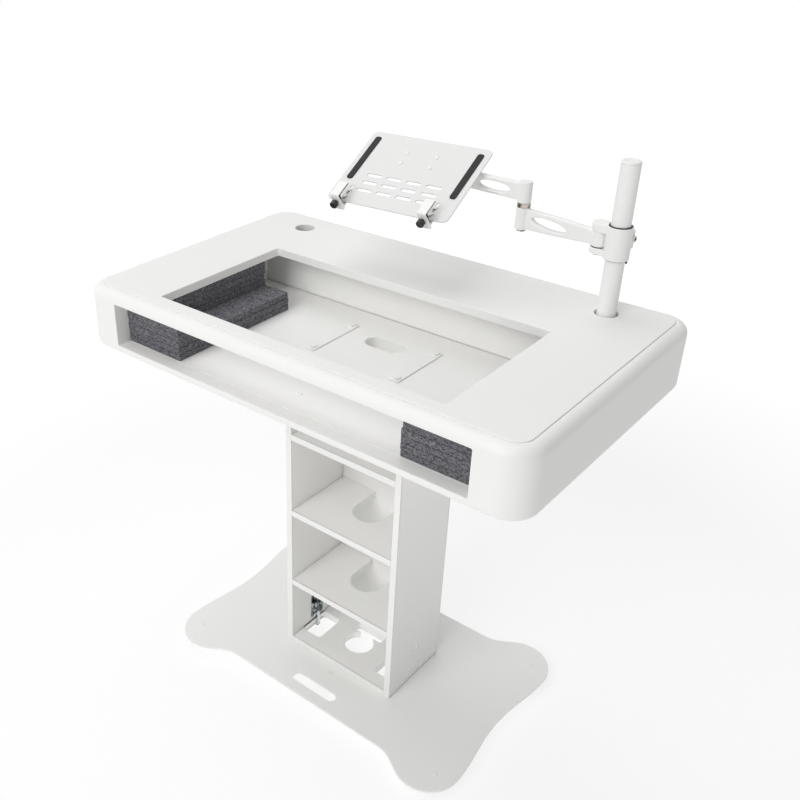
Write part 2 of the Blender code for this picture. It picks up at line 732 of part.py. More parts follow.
def make_latch(name, side):
    """Riveted plate with a guide and a stud, a sliding hook, and the winged cam that draws it up."""
    axis = (LATCH_Y, CAM_LEVEL)
    middle = CAM_LEVEL - LATCH_PLATE_DROP
    sheet = centred(LATCH_PLATE_WIDTH, LATCH_PLATE_HEIGHT, 0.005, (LATCH_Y, middle), 3)
    sheet_body = latch_slab(sheet, [], 0.0, LATCH_SHEET, side)
    rail_low = middle - LATCH_PLATE_HEIGHT / 2 + 0.002
    rail_side = HOOK_WIDTH / 2 + RUNNING
    additions = []
    for sy in (-1, 1):
        ends = sorted((LATCH_Y + sy * rail_side, LATCH_Y + sy * (rail_side + LATCH_RAIL_THICKNESS)))
        rail = rectangle((ends[0], rail_low), (ends[1], rail_low + LATCH_RAIL_LENGTH))
        additions.append(("UNION", latch_slab(rail, [], LATCH_SHEET / 2, LATCH_SHEET + LATCH_RAIL_HEIGHT, side)))
    stud_end = WING_BACK + WING_THICKNESS + RUNNING
    additions.append(("UNION", latch_drum(STUD_RADIUS, LATCH_SHEET / 2, stud_end + 0.0004, side, axis)))
    additions.append(("UNION", latch_drum(STUD_HEAD_RADIUS, stud_end, stud_end + STUD_HEAD_HEIGHT, side, axis)))
    board_face = -BOARD - 2 * GAP
    for at in rivet_places():
        additions.append(("UNION", latch_drum(LATCH_RIVET_RADIUS, board_face - LATCH_RIVET_HEAD_HEIGHT / 2,
                                              LATCH_SHEET / 2, side, at, 5)))
        additions.append(("UNION", latch_drum(LATCH_RIVET_HEAD_RADIUS, LATCH_SHEET / 2,
                                              LATCH_SHEET + LATCH_RIVET_HEAD_HEIGHT, side, at, 6)))
        additions.append(("UNION", latch_drum(LATCH_RIVET_HEAD_RADIUS, board_face - LATCH_RIVET_HEAD_HEIGHT,
                                              board_face, side, at, 6)))
    piece(f"latch_plate_{name}", carved(sheet_body, additions), "zinc")

    raised = CAM_LEVEL + CAM_OFFSET
    window_y = CAM_RADIUS + CAM_OFFSET + RUNNING
    window_z = CAM_RADIUS + CAM_SLACK
    window = rectangle((LATCH_Y - window_y, raised - window_z), (LATCH_Y + window_y, raised + window_z))
    frame_y = window_y + HOOK_FRAME_SIDE
    frame_z = window_z + HOOK_FRAME_SIDE
    frame_low = raised - frame_z
    tongue_top = FOOT_HEIGHT - GAP
    bar_low = tongue_top - HOOK_TONGUE_HEIGHT
    half = HOOK_WIDTH / 2
    outline = [(LATCH_Y - half, bar_low), (LATCH_Y + half, bar_low), (LATCH_Y + half, frame_low),
               (LATCH_Y + frame_y, frame_low), (LATCH_Y + frame_y, raised + frame_z),
               (LATCH_Y - frame_y, raised + frame_z), (LATCH_Y - frame_y, frame_low), (LATCH_Y - half, frame_low)]
    hook = latch_slab(outline, [window], HOOK_BACK, HOOK_BACK + HOOK_THICKNESS, side)
    tongue = rectangle((LATCH_Y - half, bar_low), (LATCH_Y + half, tongue_top))
    tongue_body = latch_slab(tongue, [], HOOK_BACK - HOOK_TONGUE_REACH, HOOK_BACK + HOOK_THICKNESS / 2, side)
    piece(f"latch_hook_{name}", carved(hook, [("UNION", tongue_body)]), "zinc")

    bore = circle(STUD_RADIUS + RUNNING, axis, 16)
    cam = latch_slab(circle(CAM_RADIUS, (LATCH_Y, raised), 20), [bore], CAM_BACK, WING_BACK + WING_THICKNESS / 2, side)
    wing = wing_outline(axis)
    wing_body = latch_slab(wing, [bore], WING_BACK, WING_BACK + WING_THICKNESS, side)
    parts = [("UNION", wing_body)]
    for sy in (-1, 1):
        ends = sorted((LATCH_Y + sy * WING_LENGTH / 2, LATCH_Y + sy * (WING_LENGTH / 2 - WING_THICKNESS)))
        lip = rectangle((ends[0], CAM_LEVEL - WING_WIDTH / 2 + 0.002), (ends[1], CAM_LEVEL + WING_WIDTH / 2 - 0.002))
        parts.append(("UNION", latch_slab(lip, [], WING_BACK + 0.0005, WING_BACK + WING_LIP_HEIGHT, side)))
    shape = carved(cam, parts)
    place = (side * -(LATCH_WALL + WING_BACK), LATCH_Y, CAM_LEVEL)
    piece(f"latch_wing_{name}", shifted(shape, -place[0], -place[1], -place[2]), "zinc", place)


def wing_outline(axis):
    """The wing: a bow tie with round ends, across the cam's axis."""
    y, z = axis
    half = WING_LENGTH / 2
    wide = WING_WIDTH / 2
    waist = 0.62 * wide
    right = [(y + 0.3 * half, z - waist), (y + half, z - wide), (y + half, z + wide), (y + 0.3 * half, z + waist)]
    left = [(y - 0.3 * half, z + waist), (y - half, z + wide), (y - half, z - wide), (y - 0.3 * half, z - waist)]
    return right + left


# Table top
def table_outline(inset, steps=6):
    """The table's rounded rectangle, moved inwards."""
    length = TABLE_LENGTH - 2 * inset
    depth = TABLE_DEPTH - 2 * inset
    return centred(length, depth, TABLE_CORNER - inset, steps=steps)


def make_table_rim():
    """The table's wall: its section runs round the rounded rectangle, and the front has the storage slot."""
    rim_top = TABLE_TOP - PANEL_RISE
    quarter = np.linspace(0.0, math.pi / 2, 6)
    section = [(RIM_BOTTOM_ROUND * (1 - math.sin(a)), TABLE_BOTTOM + RIM_BOTTOM_ROUND * (1 - math.cos(a)))
               for a in quarter[::-1]][::-1]
    section += [(RIM_TOP_ROUND * (1 - math.cos(a)), rim_top - RIM_TOP_ROUND * (1 - math.sin(a))) for a in quarter]
    seam = PANEL_INSET - GAP
    section += [(seam, rim_top), (seam, LEDGE), (RIM_WALL, LEDGE), (RIM_WALL, TABLE_BOTTOM)]
    shape = bmesh.new()
    rows = [[shape.verts.new((x, y, level)) for x, y in table_outline(inset)] for inset, level in section]
    wall(shape, rows + rows[:1], True)
    bmesh.ops.recalc_face_normals(shape, faces=shape.faces[:])
    front = -TABLE_DEPTH / 2
    slot = centred(SLOT_LENGTH, SLOT_HEIGHT, 0.003, (0.0, FLOOR_TOP + SLOT_HEIGHT / 2), 2)
    cutter = moved(plate(slot, [], -front - RIM_WALL - 0.010, -front + 0.010), STANDING_ALONG)
    piece("table_rim", carved(shape, [("DIFFERENCE", cutter)]), "white_top")


def make_table_panel():
    """The raised top panel with the console's cut-out and the two mast holes."""
    holes = [centred(CUTOUT_LENGTH, CUTOUT_DEPTH, CUTOUT_CORNER, (0.0, CUTOUT_Y), 3)]
    holes += [circle(MAST_HOLE_RADIUS, (side * MAST_X, MAST_Y), 24) for side in (-1, 1)]
    shape = plate(table_outline(PANEL_INSET), holes, PANEL_BOTTOM, TABLE_TOP, 0.0, PANEL_EDGE, 2)
    piece("table_top_panel", shape, "white_top")


def socket_screw_places(side):
    """Screws about the mast position on one side."""
    turns = [math.radians(45 + 90 * k) for k in range(4)]
    return [(side * MAST_X + SOCKET_SCREW_CIRCLE * math.cos(a), MAST_Y + SOCKET_SCREW_CIRCLE * math.sin(a))
            for a in turns]


def make_table_floor():
    """The table's floor board inside the rim."""
    holes = table_bolt_holes() + [cable_hole()]
    holes += [circle(SOCKET_SCREW_RADIUS + GAP, at, 8) for side in (-1, 1) for at in socket_screw_places(side)]
    shape = plate(table_outline(RIM_WALL + GAP, 5), holes, TABLE_BOTTOM, FLOOR_TOP)
    piece("table_floor", shape, "white_top")


def make_bay_boards():
    """End boards and back rail of the storage bay, which carry the top panel."""
    low, high = FLOOR_TOP + GAP, PANEL_BOTTOM - GAP
    front = -(RIM_INSIDE_Y - GAP)
    back = BAY_BACK_Y + END_BOARD
    inner = SLOT_LENGTH / 2
    for name, side in (("left", -1), ("right", 1)):
        ends = sorted((side * inner, side * (inner + END_BOARD)))
        shape = block((ends[0], front, low), (ends[1], back, high))
        piece(f"table_bay_end_{name}", shape, "white_top")
    rail = block((-inner + GAP, BAY_BACK_Y, low), (inner - GAP, back, high))
    piece("table_bay_back", rail, "white_top")


# Foam
def foam_outlines(side):
    """The whole foam sheet, and the sheet that is cut back round the console's corner."""
    outer = SLOT_LENGTH / 2 - FOAM_PLAY
    inner = outer - FOAM_WIDTH
    front = -RIM_INSIDE_Y + FOAM_SETBACK
    back = front + FOAM_DEPTH
    console_x = CUTOUT_LENGTH / 2 + CONSOLE_PLAY
    console_front = CUTOUT_Y - CUTOUT_DEPTH / 2 - CONSOLE_PLAY
    whole = [(inner, front), (outer, front), (outer, back), (inner, back)]
    cut = [(inner, front), (outer, front), (outer, back), (console_x, back),
           (console_x, console_front), (inner, console_front)]
    if side < 0:
        whole, cut = ([(-x, y) for x, y in points[::-1]] for points in (whole, cut))
    return whole, cut


def layered(outline, low, layers):
    """A block of foam sheets, parted by shallow grooves."""
    rows = []
    shape = bmesh.new()
    for layer in range(layers):
        base = low + layer * FOAM_LAYER
        for inset, level in ((FOAM_GROOVE, base), (0.0, base + FOAM_GROOVE), (0.0, base + FOAM_LAYER - FOAM_GROOVE)):
            rows.append([shape.verts.new((x, y, level)) for x, y in offset(outline, inset)])
    top = low + layers * FOAM_LAYER
    rows.append([shape.verts.new((x, y, top)) for x, y in offset(outline, FOAM_GROOVE)])
    wall(shape, rows, True)
    shape.faces.new(rows[0][::-1])
    shape.faces.new(rows[-1])
    bmesh.ops.recalc_face_normals(shape, faces=shape.faces[:])
    return shape


def make_foam():
    """Two stacks of foam sheets. The upper sheets leave room for the console's ends."""
    base = FLOOR_TOP + GAP
    console_bottom = TABLE_TOP - CONSOLE_DEPTH_BELOW
    whole_layers = int((console_bottom - base) / FOAM_LAYER)
    for name, side in (("left", -1), ("right", 1)):
        whole, cut = foam_outlines(side)
        lower = layered(whole, base, whole_layers)
        middle = base + whole_layers * FOAM_LAYER
        upper = layered(cut, middle - FOAM_SINK, FOAM_LAYERS - whole_layers)
        piece(f"foam_stack_{name}", carved(lower, [("UNION", upper)]), "foam")


# Mast
def make_mast():
    """Mast tube standing on the table floor, its cap, and a socket at each mast position."""
    foot = FLOOR_TOP + GAP
    inner = MAST_RADIUS - MAST_WALL
    cap_seat = MAST_TOP - MAST_CAP_HEIGHT
    tube = sleeve(MAST_RADIUS, inner, foot, cap_seat - GAP, 28)
    piece("mast", shifted(tube, z=-foot), "white_arm", (MAST_X, MAST_Y, foot))
    plug = inner - GAP
    cap = turned([(0.0, cap_seat - MAST_CAP_PLUG), (plug, cap_seat - MAST_CAP_PLUG), (plug, cap_seat),
                  (MAST_RADIUS, cap_seat), (MAST_RADIUS, MAST_TOP - 0.002), (MAST_RADIUS - 0.0007, MAST_TOP - 0.0007),
                  (MAST_RADIUS - 0.0022, MAST_TOP), (0.0, MAST_TOP)], 24)
    piece("mast_cap", shifted(cap, z=-cap_seat), "white_arm", (MAST_X, MAST_Y, cap_seat))
    bore = MAST_RADIUS + RUNNING
    step = SOCKET_FLANGE_THICKNESS
    outside = bore + SOCKET_WALL
    profile = [(bore, 0.0), (SOCKET_FLANGE_RADIUS, 0.0), (SOCKET_FLANGE_RADIUS, step), (outside, step),
               (outside, SOCKET_HEIGHT), (bore, SOCKET_HEIGHT)]
    depth = step + FLOOR_THICKNESS - 0.004
    for name, side in (("left", -1), ("right", 1)):
        tools = []
        for x, y in socket_screw_places(side):
            thing = screw(SOCKET_SCREW_RADIUS, depth, SOCKET_SCREW_HEAD_RADIUS, SOCKET_SCREW_HEAD_HEIGHT, 6)
            tools.append(("UNION", shifted(thing, x - side * MAST_X, y - MAST_Y, step - SOCKET_SCREW_SINK)))
        piece(f"mast_socket_{name}", carved(turned(profile, 24), tools), "powder_coat", (side * MAST_X, MAST_Y, foot))


# Collar, drawn about the mast with +X towards the shoulder
COLLAR_BORE = MAST_RADIUS + RUNNING + BUSH_WALL + RUNNING


def ear(low, height):
    """A round-ended ear from the collar out to the shoulder pin."""
    outline = [(0.0, -EAR_RADIUS)] + arc((SHOULDER_REACH, 0.0), EAR_RADIUS, -90.0, 90.0, 10) + [(0.0, EAR_RADIUS)]
    return plate(outline, [], low, low + height, 0.0015, 0.0015, 1)


def make_collar():
    """Bush and split collar with two ears for the lower arm and two lugs for the clamp bolt."""
    place = (MAST_X, MAST_Y, COLLAR_BOTTOM)
    bush = sleeve(COLLAR_BORE - RUNNING, MAST_RADIUS + RUNNING, -BUSH_PROUD, COLLAR_HEIGHT + BUSH_PROUD, 28)
    piece("mast_bush", bush, "black_plastic", place)
    body = drum(COLLAR_RADIUS, 0.0, COLLAR_HEIGHT, 0.0015, 28)
    lug_half = SLIT_WIDTH / 2 + LUG_THICKNESS
    lugs = centred(2 * lug_half, LUG_REACH, 0.004, (0.0, -LUG_REACH / 2), 3)
    slit = block((-SLIT_WIDTH / 2, -LUG_REACH - 0.010, -0.010), (SLIT_WIDTH / 2, -0.010, COLLAR_HEIGHT + 0.010))
    bolt_bore = moved(drum(CLAMP_BOLT_RADIUS + GAP, -0.030, 0.030, steps=16), Matrix.Rotation(math.radians(90), 4, "Y"))
    pin_top = UPPER_EAR_LEVEL + UPPER_EAR_HEIGHT - 0.004
    pin_bore = drum(PIVOT_PIN_RADIUS + PIN_CLEARANCE, -0.010, pin_top, steps=20)
    tools = [
        ("UNION", ear(LOWER_EAR_LEVEL, LOWER_EAR_HEIGHT)),
        ("UNION", ear(UPPER_EAR_LEVEL, UPPER_EAR_HEIGHT)),
        ("UNION", plate(lugs, [], LUG_LEVEL, LUG_LEVEL + LUG_HEIGHT)),
        ("DIFFERENCE", drum(COLLAR_BORE, -0.010, COLLAR_HEIGHT + 0.010, steps=28)),
        ("DIFFERENCE", slit),
        ("DIFFERENCE", shifted(bolt_bore, y=-CLAMP_BOLT_REACH, z=CLAMP_BOLT_LEVEL)),
        ("DIFFERENCE", shifted(pin_bore, x=SHOULDER_REACH)),
    ]
    piece("collar", carved(body, tools), "white_arm", place, COLLAR_YAW)


def make_clamp():
    """Clamp bolt through the lugs, and the lever between them."""
    outside = SLIT_WIDTH / 2 + LUG_THICKNESS + GAP
    far = outside + CLAMP_HEAD_THICKNESS
    head = CLAMP_HEAD_RADIUS
    shaft = CLAMP_BOLT_RADIUS
    bolt = turned([(0.0, -far), (head * 0.8, -far), (head, -far + 0.001), (head, -outside), (shaft, -outside),
                   (shaft, outside), (head * 0.9, outside), (head * 0.9, far - 0.001), (head * 0.7, far), (0.0, far)], 18)
    bolt = moved(bolt, Matrix.Rotation(math.radians(-90), 4, "Y"))
    turn = Matrix.Rotation(math.radians(COLLAR_YAW), 4, "Z")
    centre = Vector((MAST_X, MAST_Y, COLLAR_BOTTOM)) + turn @ Vector((0.0, -CLAMP_BOLT_REACH, CLAMP_BOLT_LEVEL))
    piece("clamp_bolt", bolt, "white_arm", centre, COLLAR_YAW)
    tip = (-LEVER_CRANK, -LEVER_LENGTH)
    outline = arc((0.0, 0.0), LEVER_HUB_RADIUS, -35.0, 215.0, 16)
    outline += [(-0.0042, -0.012)]
    outline += arc(tip, LEVER_TIP_RADIUS, 180.0, 360.0, 6)
    outline += [(0.0012, -0.012)]
    bore = circle(CLAMP_BOLT_RADIUS + RUNNING, steps=16)
    half = SLIT_WIDTH / 2 - RUNNING
    lever = moved(plate(outline, [bore], -half, half, 0.0008, 0.0008, 1), STANDING_ACROSS)
    piece("clamp_lever", lever, "black_plastic", centre, COLLAR_YAW)


# Arm links, drawn from one pivot along +X to the next
def link_body(length, start, end, window_x, window_slope):
    """A flat link on edge. start and end are its (low, high) at the two pivots, and it has one oval window."""
    t = np.linspace(0.0, 1.0, 9)
    bulge = np.sin(math.pi * t)
    low = start[0] + (end[0] - start[0]) * t - 0.0012 * bulge
    high = start[1] + (end[1] - start[1]) * t + 0.0012 * bulge
    outline = list(zip(length * t, low)) + list(zip(length * t[::-1], high[::-1]))
    angles = np.linspace(0.0, 2 * math.pi, 24, endpoint=False)
    slope = math.radians(window_slope)
    u = WINDOW_LENGTH / 2 * np.cos(angles)
    v = WINDOW_HEIGHT / 2 * np.sin(angles)
    middle = (low.mean() + high.mean()) / 2
    window = list(zip(window_x + u * math.cos(slope) - v * math.sin(slope),
                      middle + u * math.sin(slope) + v * math.cos(slope)))
    half = LINK_THICKNESS / 2
    return moved(plate(outline, [window], -half, half, LINK_ROUND, LINK_ROUND, 2), STANDING_ALONG)


def make_lower_arm():
    """Lower arm between the collar's ears, with the washer under it and the shoulder pin."""
    place = (SHOULDER.x, SHOULDER.y, ARM_LEVEL)
    washer_low = GAP
    barrel_low = washer_low + SHOULDER_WASHER + GAP
    barrel_high = UPPER_EAR_LEVEL - LOWER_EAR_LEVEL - LOWER_EAR_HEIGHT - GAP
    elbow_low = -ELBOW_DROP
    elbow_high = elbow_low + ELBOW_HEIGHT
    body = link_body(LOWER_ARM_LENGTH, (barrel_low + 0.0008, barrel_high - 0.0010),
                     (elbow_low + 0.0008, elbow_high - 0.0012), LOWER_ARM_LENGTH - WINDOW_FROM_ELBOW, WINDOW_SLOPE)
    bore = PIVOT_PIN_RADIUS + PIN_CLEARANCE
    tools = [
        ("UNION", drum(BARREL_RADIUS, barrel_low, barrel_high, 0.0010)),
        ("UNION", shifted(drum(BARREL_RADIUS, elbow_low, elbow_high, BARREL_ROUND), x=LOWER_ARM_LENGTH)),
        ("DIFFERENCE", drum(bore, barrel_low - 0.010, barrel_high + 0.010, steps=20)),
        ("DIFFERENCE", shifted(drum(bore, elbow_low - 0.010, elbow_high + 0.010, steps=20), x=LOWER_ARM_LENGTH)),
    ]
    piece("lower_arm", carved(body, tools), "white_arm", place, LOWER_ARM_YAW)
    washer = sleeve(BARREL_RADIUS - 0.0008, bore, washer_low, washer_low + SHOULDER_WASHER, 28)
    piece("shoulder_washer", washer, "black_plastic", place, LOWER_ARM_YAW)
    head_top = COLLAR_BOTTOM + LOWER_EAR_LEVEL - GAP
    shaft_top = COLLAR_BOTTOM + UPPER_EAR_LEVEL + UPPER_EAR_HEIGHT - 0.004 - 2 * GAP
    piece("shoulder_pin", pivot_pin(head_top, shaft_top), "zinc", (SHOULDER.x, SHOULDER.y, head_top), COLLAR_YAW)


def pivot_pin(head_top, shaft_top):
    """A pin about Z pushed up from below, with its head's upper face at z = 0."""
    height = shaft_top - head_top
    head = PIVOT_HEAD_RADIUS
    return turned([(0.0, -PIVOT_HEAD_HEIGHT), (head - 0.001, -PIVOT_HEAD_HEIGHT), (head, -PIVOT_HEAD_HEIGHT + 0.001),
                   (head, 0.0), (PIVOT_PIN_RADIUS, 0.0), (PIVOT_PIN_RADIUS, height), (0.0, height)], 20)


def make_upper_arm():
    """Upper arm on its ring above the lower one, and the elbow pin."""
    place = (ELBOW.x, ELBOW.y, UPPER_BARREL_LOW)
    height = UPPER_BARREL_HEIGHT
    body = link_body(UPPER_ARM_LENGTH, (0.0030, height - 0.0040), (0.0030, height - 0.0100),
                     WINDOW_FROM_ELBOW + 0.0085, -1.0)
    bore = PIVOT_PIN_RADIUS + PIN_CLEARANCE
    pin_space = height - 0.004
    tools = [
        ("UNION", drum(BARREL_RADIUS - 0.0005, 0.0, height, BARREL_ROUND)),
        ("UNION", shifted(drum(BARREL_RADIUS - 0.0005, 0.0, height, BARREL_ROUND), x=UPPER_ARM_LENGTH)),
        ("DIFFERENCE", drum(bore, -0.010, pin_space, steps=20)),
        ("DIFFERENCE", shifted(drum(bore, -0.010, height + 0.010, steps=20), x=UPPER_ARM_LENGTH)),
    ]
    piece("upper_arm", carved(body, tools), "white_arm", place, UPPER_ARM_YAW)
    ring = sleeve(ELBOW_RING_RADIUS, bore, 0.0, ELBOW_RING_HEIGHT, 32)
    piece("elbow_ring", ring, "nickel", (ELBOW.x, ELBOW.y, LOWER_BARREL_TOP + GAP))
    head_top = LOWER_BARREL_TOP - ELBOW_HEIGHT - GAP
    pin = pivot_pin(head_top, UPPER_BARREL_LOW + pin_space - 2 * GAP)
    piece("elbow_pin", pin, "zinc", (ELBOW.x, ELBOW.y, head_top))


# Wrist, tilt hinge and tray
def make_wrist():
    """Wrist head with its spindle and tilt eye, and the cap nut below."""
    top = UPPER_BARREL_TOP
    disc_low = GAP
    disc_high = disc_low + WRIST_DISC_THICKNESS
    spindle_low = -UPPER_BARREL_HEIGHT - 0.006
    body = turned([(0.0, spindle_low), (PIVOT_PIN_RADIUS, spindle_low), (PIVOT_PIN_RADIUS, disc_low),
                   (WRIST_DISC_RADIUS, disc_low), (WRIST_DISC_RADIUS, disc_high - 0.001),
                   (WRIST_DISC_RADIUS - 0.001, disc_high), (0.0, disc_high)], 28)
    half = TILT_EYE_WIDTH / 2
    eye = moved(drum(TILT_EYE_RADIUS, -half, half, 0.0008, 24), Matrix.Rotation(math.radians(90), 4, "Y"))
    web = block((-half + 0.001, -TILT_WEB / 2, disc_high - 0.001), (half - 0.001, TILT_WEB / 2, TILT_RISE))
    bore = moved(drum(TILT_PIN_RADIUS + PIN_CLEARANCE, -0.030, 0.030, steps=16), Matrix.Rotation(math.radians(90), 4, "Y"))
    tools = [("UNION", web), ("UNION", shifted(eye, z=TILT_RISE)), ("DIFFERENCE", shifted(bore, z=TILT_RISE))]
    piece("wrist_head", carved(body, tools), "white_arm", (WRIST.x, WRIST.y, top), TRAY_YAW)
    nut_top = -UPPER_BARREL_HEIGHT - GAP
    bore = PIVOT_PIN_RADIUS + PIN_CLEARANCE
    nut_low = spindle_low - GAP - WRIST_NUT_CAP
    nut = turned([(0.0, nut_low), (0.7 * WRIST_NUT_RADIUS, nut_low), (WRIST_NUT_RADIUS, nut_low + 0.002),
                  (WRIST_NUT_RADIUS, nut_top), (bore, nut_top), (bore, spindle_low - GAP), (0.0, spindle_low - GAP)], 20)
    piece("wrist_nut", nut, "zinc", (WRIST.x, WRIST.y, top), TRAY_YAW)


def tray_frame():
    """Empty on the tilt axis: +X along it, +Y up the tray's slope and +Z out of the tray."""
    frame = bpy.data.objects.new("tray_frame", None)
    bpy.context.collection.objects.link(frame)
    frame.location = (WRIST.x, WRIST.y, TILT_LEVEL)
    frame.rotation_euler = (math.radians(TRAY_TILT), 0.0, math.radians(TRAY_YAW))
    return frame


def tray_screw_places():
    """Screws that hold the bracket to the tray."""
    return [(sx * TRAY_SCREW_X, y) for sx in (-1, 1) for y in TRAY_SCREW_ROWS]


def make_tray_bracket(frame):
    """Bracket whose cheeks straddle the wrist head and whose screws hold the tray, and the tilt pin."""
    inner = TILT_EYE_WIDTH / 2 + 2 * RUNNING
    top = TRAY_LIFT - GAP
    low = top - BRACKET_THICKNESS
    half = BRACKET_WIDTH / 2
    notch = CHEEK_RADIUS + 0.006
    back = CHEEK_RADIUS
    outline = [(-half, BRACKET_FRONT), (half, BRACKET_FRONT), (half, back), (inner, back), (inner, -notch),
               (-inner, -notch), (-inner, back), (-half, back)]
    body = plate(outline, [], low, top)
    cheek = arc((0.0, 0.0), CHEEK_RADIUS, 180.0, 360.0, 12) + [(CHEEK_RADIUS, top - 0.001), (-CHEEK_RADIUS, top - 0.001)]
    tools = []
    for side in (-1, 1):
        ends = sorted((side * inner, side * (inner + CHEEK_THICKNESS)))
        bore = circle(TILT_PIN_RADIUS + PIN_CLEARANCE, steps=16)
        tools.append(("UNION", moved(plate(cheek, [bore], *ends), STANDING_ACROSS)))
    tray_top = TRAY_LIFT + TRAY_THICKNESS
    depth = TRAY_THICKNESS + BRACKET_THICKNESS
    for x, y in tray_screw_places():
        thing = screw(TRAY_SCREW_RADIUS, depth, TRAY_SCREW_HEAD_RADIUS, TRAY_SCREW_HEAD_HEIGHT, 8)
        tools.append(("UNION", shifted(thing, x, y, tray_top + GAP)))
    piece("tray_bracket", carved(body, tools), "white_arm", parent=frame)
    outside = inner + CHEEK_THICKNESS + GAP
    far = outside + TILT_PIN_HEAD_THICKNESS
    head = TILT_PIN_HEAD_RADIUS
    pin = turned([(0.0, -far), (head - 0.001, -far), (head, -far + 0.001), (head, -outside), (TILT_PIN_RADIUS, -outside),
                  (TILT_PIN_RADIUS, outside), (head, outside), (head, far - 0.001), (head - 0.001, far), (0.0, far)], 20)
    piece("tilt_pin", moved(pin, Matrix.Rotation(math.radians(90), 4, "Y")), "zinc", parent=frame)


def guide_places():
    """Guide studs of a clamp foot, as distances along the tray's slope."""
    front = LAPTOP_FRONT + 0.024
    return (front, front + GUIDE_SPACING)


def vent_slots():
    """Rows of round-ended vents in the tray."""
    slots = []
    for column in range(VENT_COLUMNS):
        for row in range(VENT_ROWS):
            at = ((column - (VENT_COLUMNS - 1) / 2) * VENT_PITCH_X, VENT_FRONT_Y + row * VENT_PITCH_Y)
            slots.append(centred(VENT_LENGTH, VENT_WIDTH, VENT_WIDTH / 2 - 0.0001, at, 3))
    return slots


def make_tray(frame):
    """Vented steel tray with two rubber strips."""
    outline = rounded_rectangle((-TRAY_WIDTH / 2, TRAY_FRONT), (TRAY_WIDTH / 2, TRAY_BACK), TRAY_CORNER, 6)
    low, high = TRAY_LIFT, TRAY_LIFT + TRAY_THICKNESS
    holes = vent_slots() + [circle(TRAY_SCREW_RADIUS + GAP, at, 12) for at in tray_screw_places()]
    first, last = guide_places()
    slot_width = 2 * (GUIDE_STUD_RADIUS + RUNNING)
    slot_length = last - first + slot_width + 2 * GUIDE_TRAVEL
    for side in (-1, 1):
        holes.append(centred(slot_width, slot_length, slot_width / 2 - 0.0001, (side * CLAMP_X, (first + last) / 2), 5))
    piece("tray_plate", plate(outline, holes, low, high), "white_arm", parent=frame)
    for name, side in (("left", -1), ("right", 1)):
        outline = centred(PAD_WIDTH, PAD_LENGTH, 0.005, (side * PAD_X, PAD_Y), 4)
        pad = plate(outline, [], high + GAP, high + PAD_HEIGHT, 0.0, 0.0006, 1)
        piece(f"tray_pad_{name}", pad, "rubber", parent=frame)


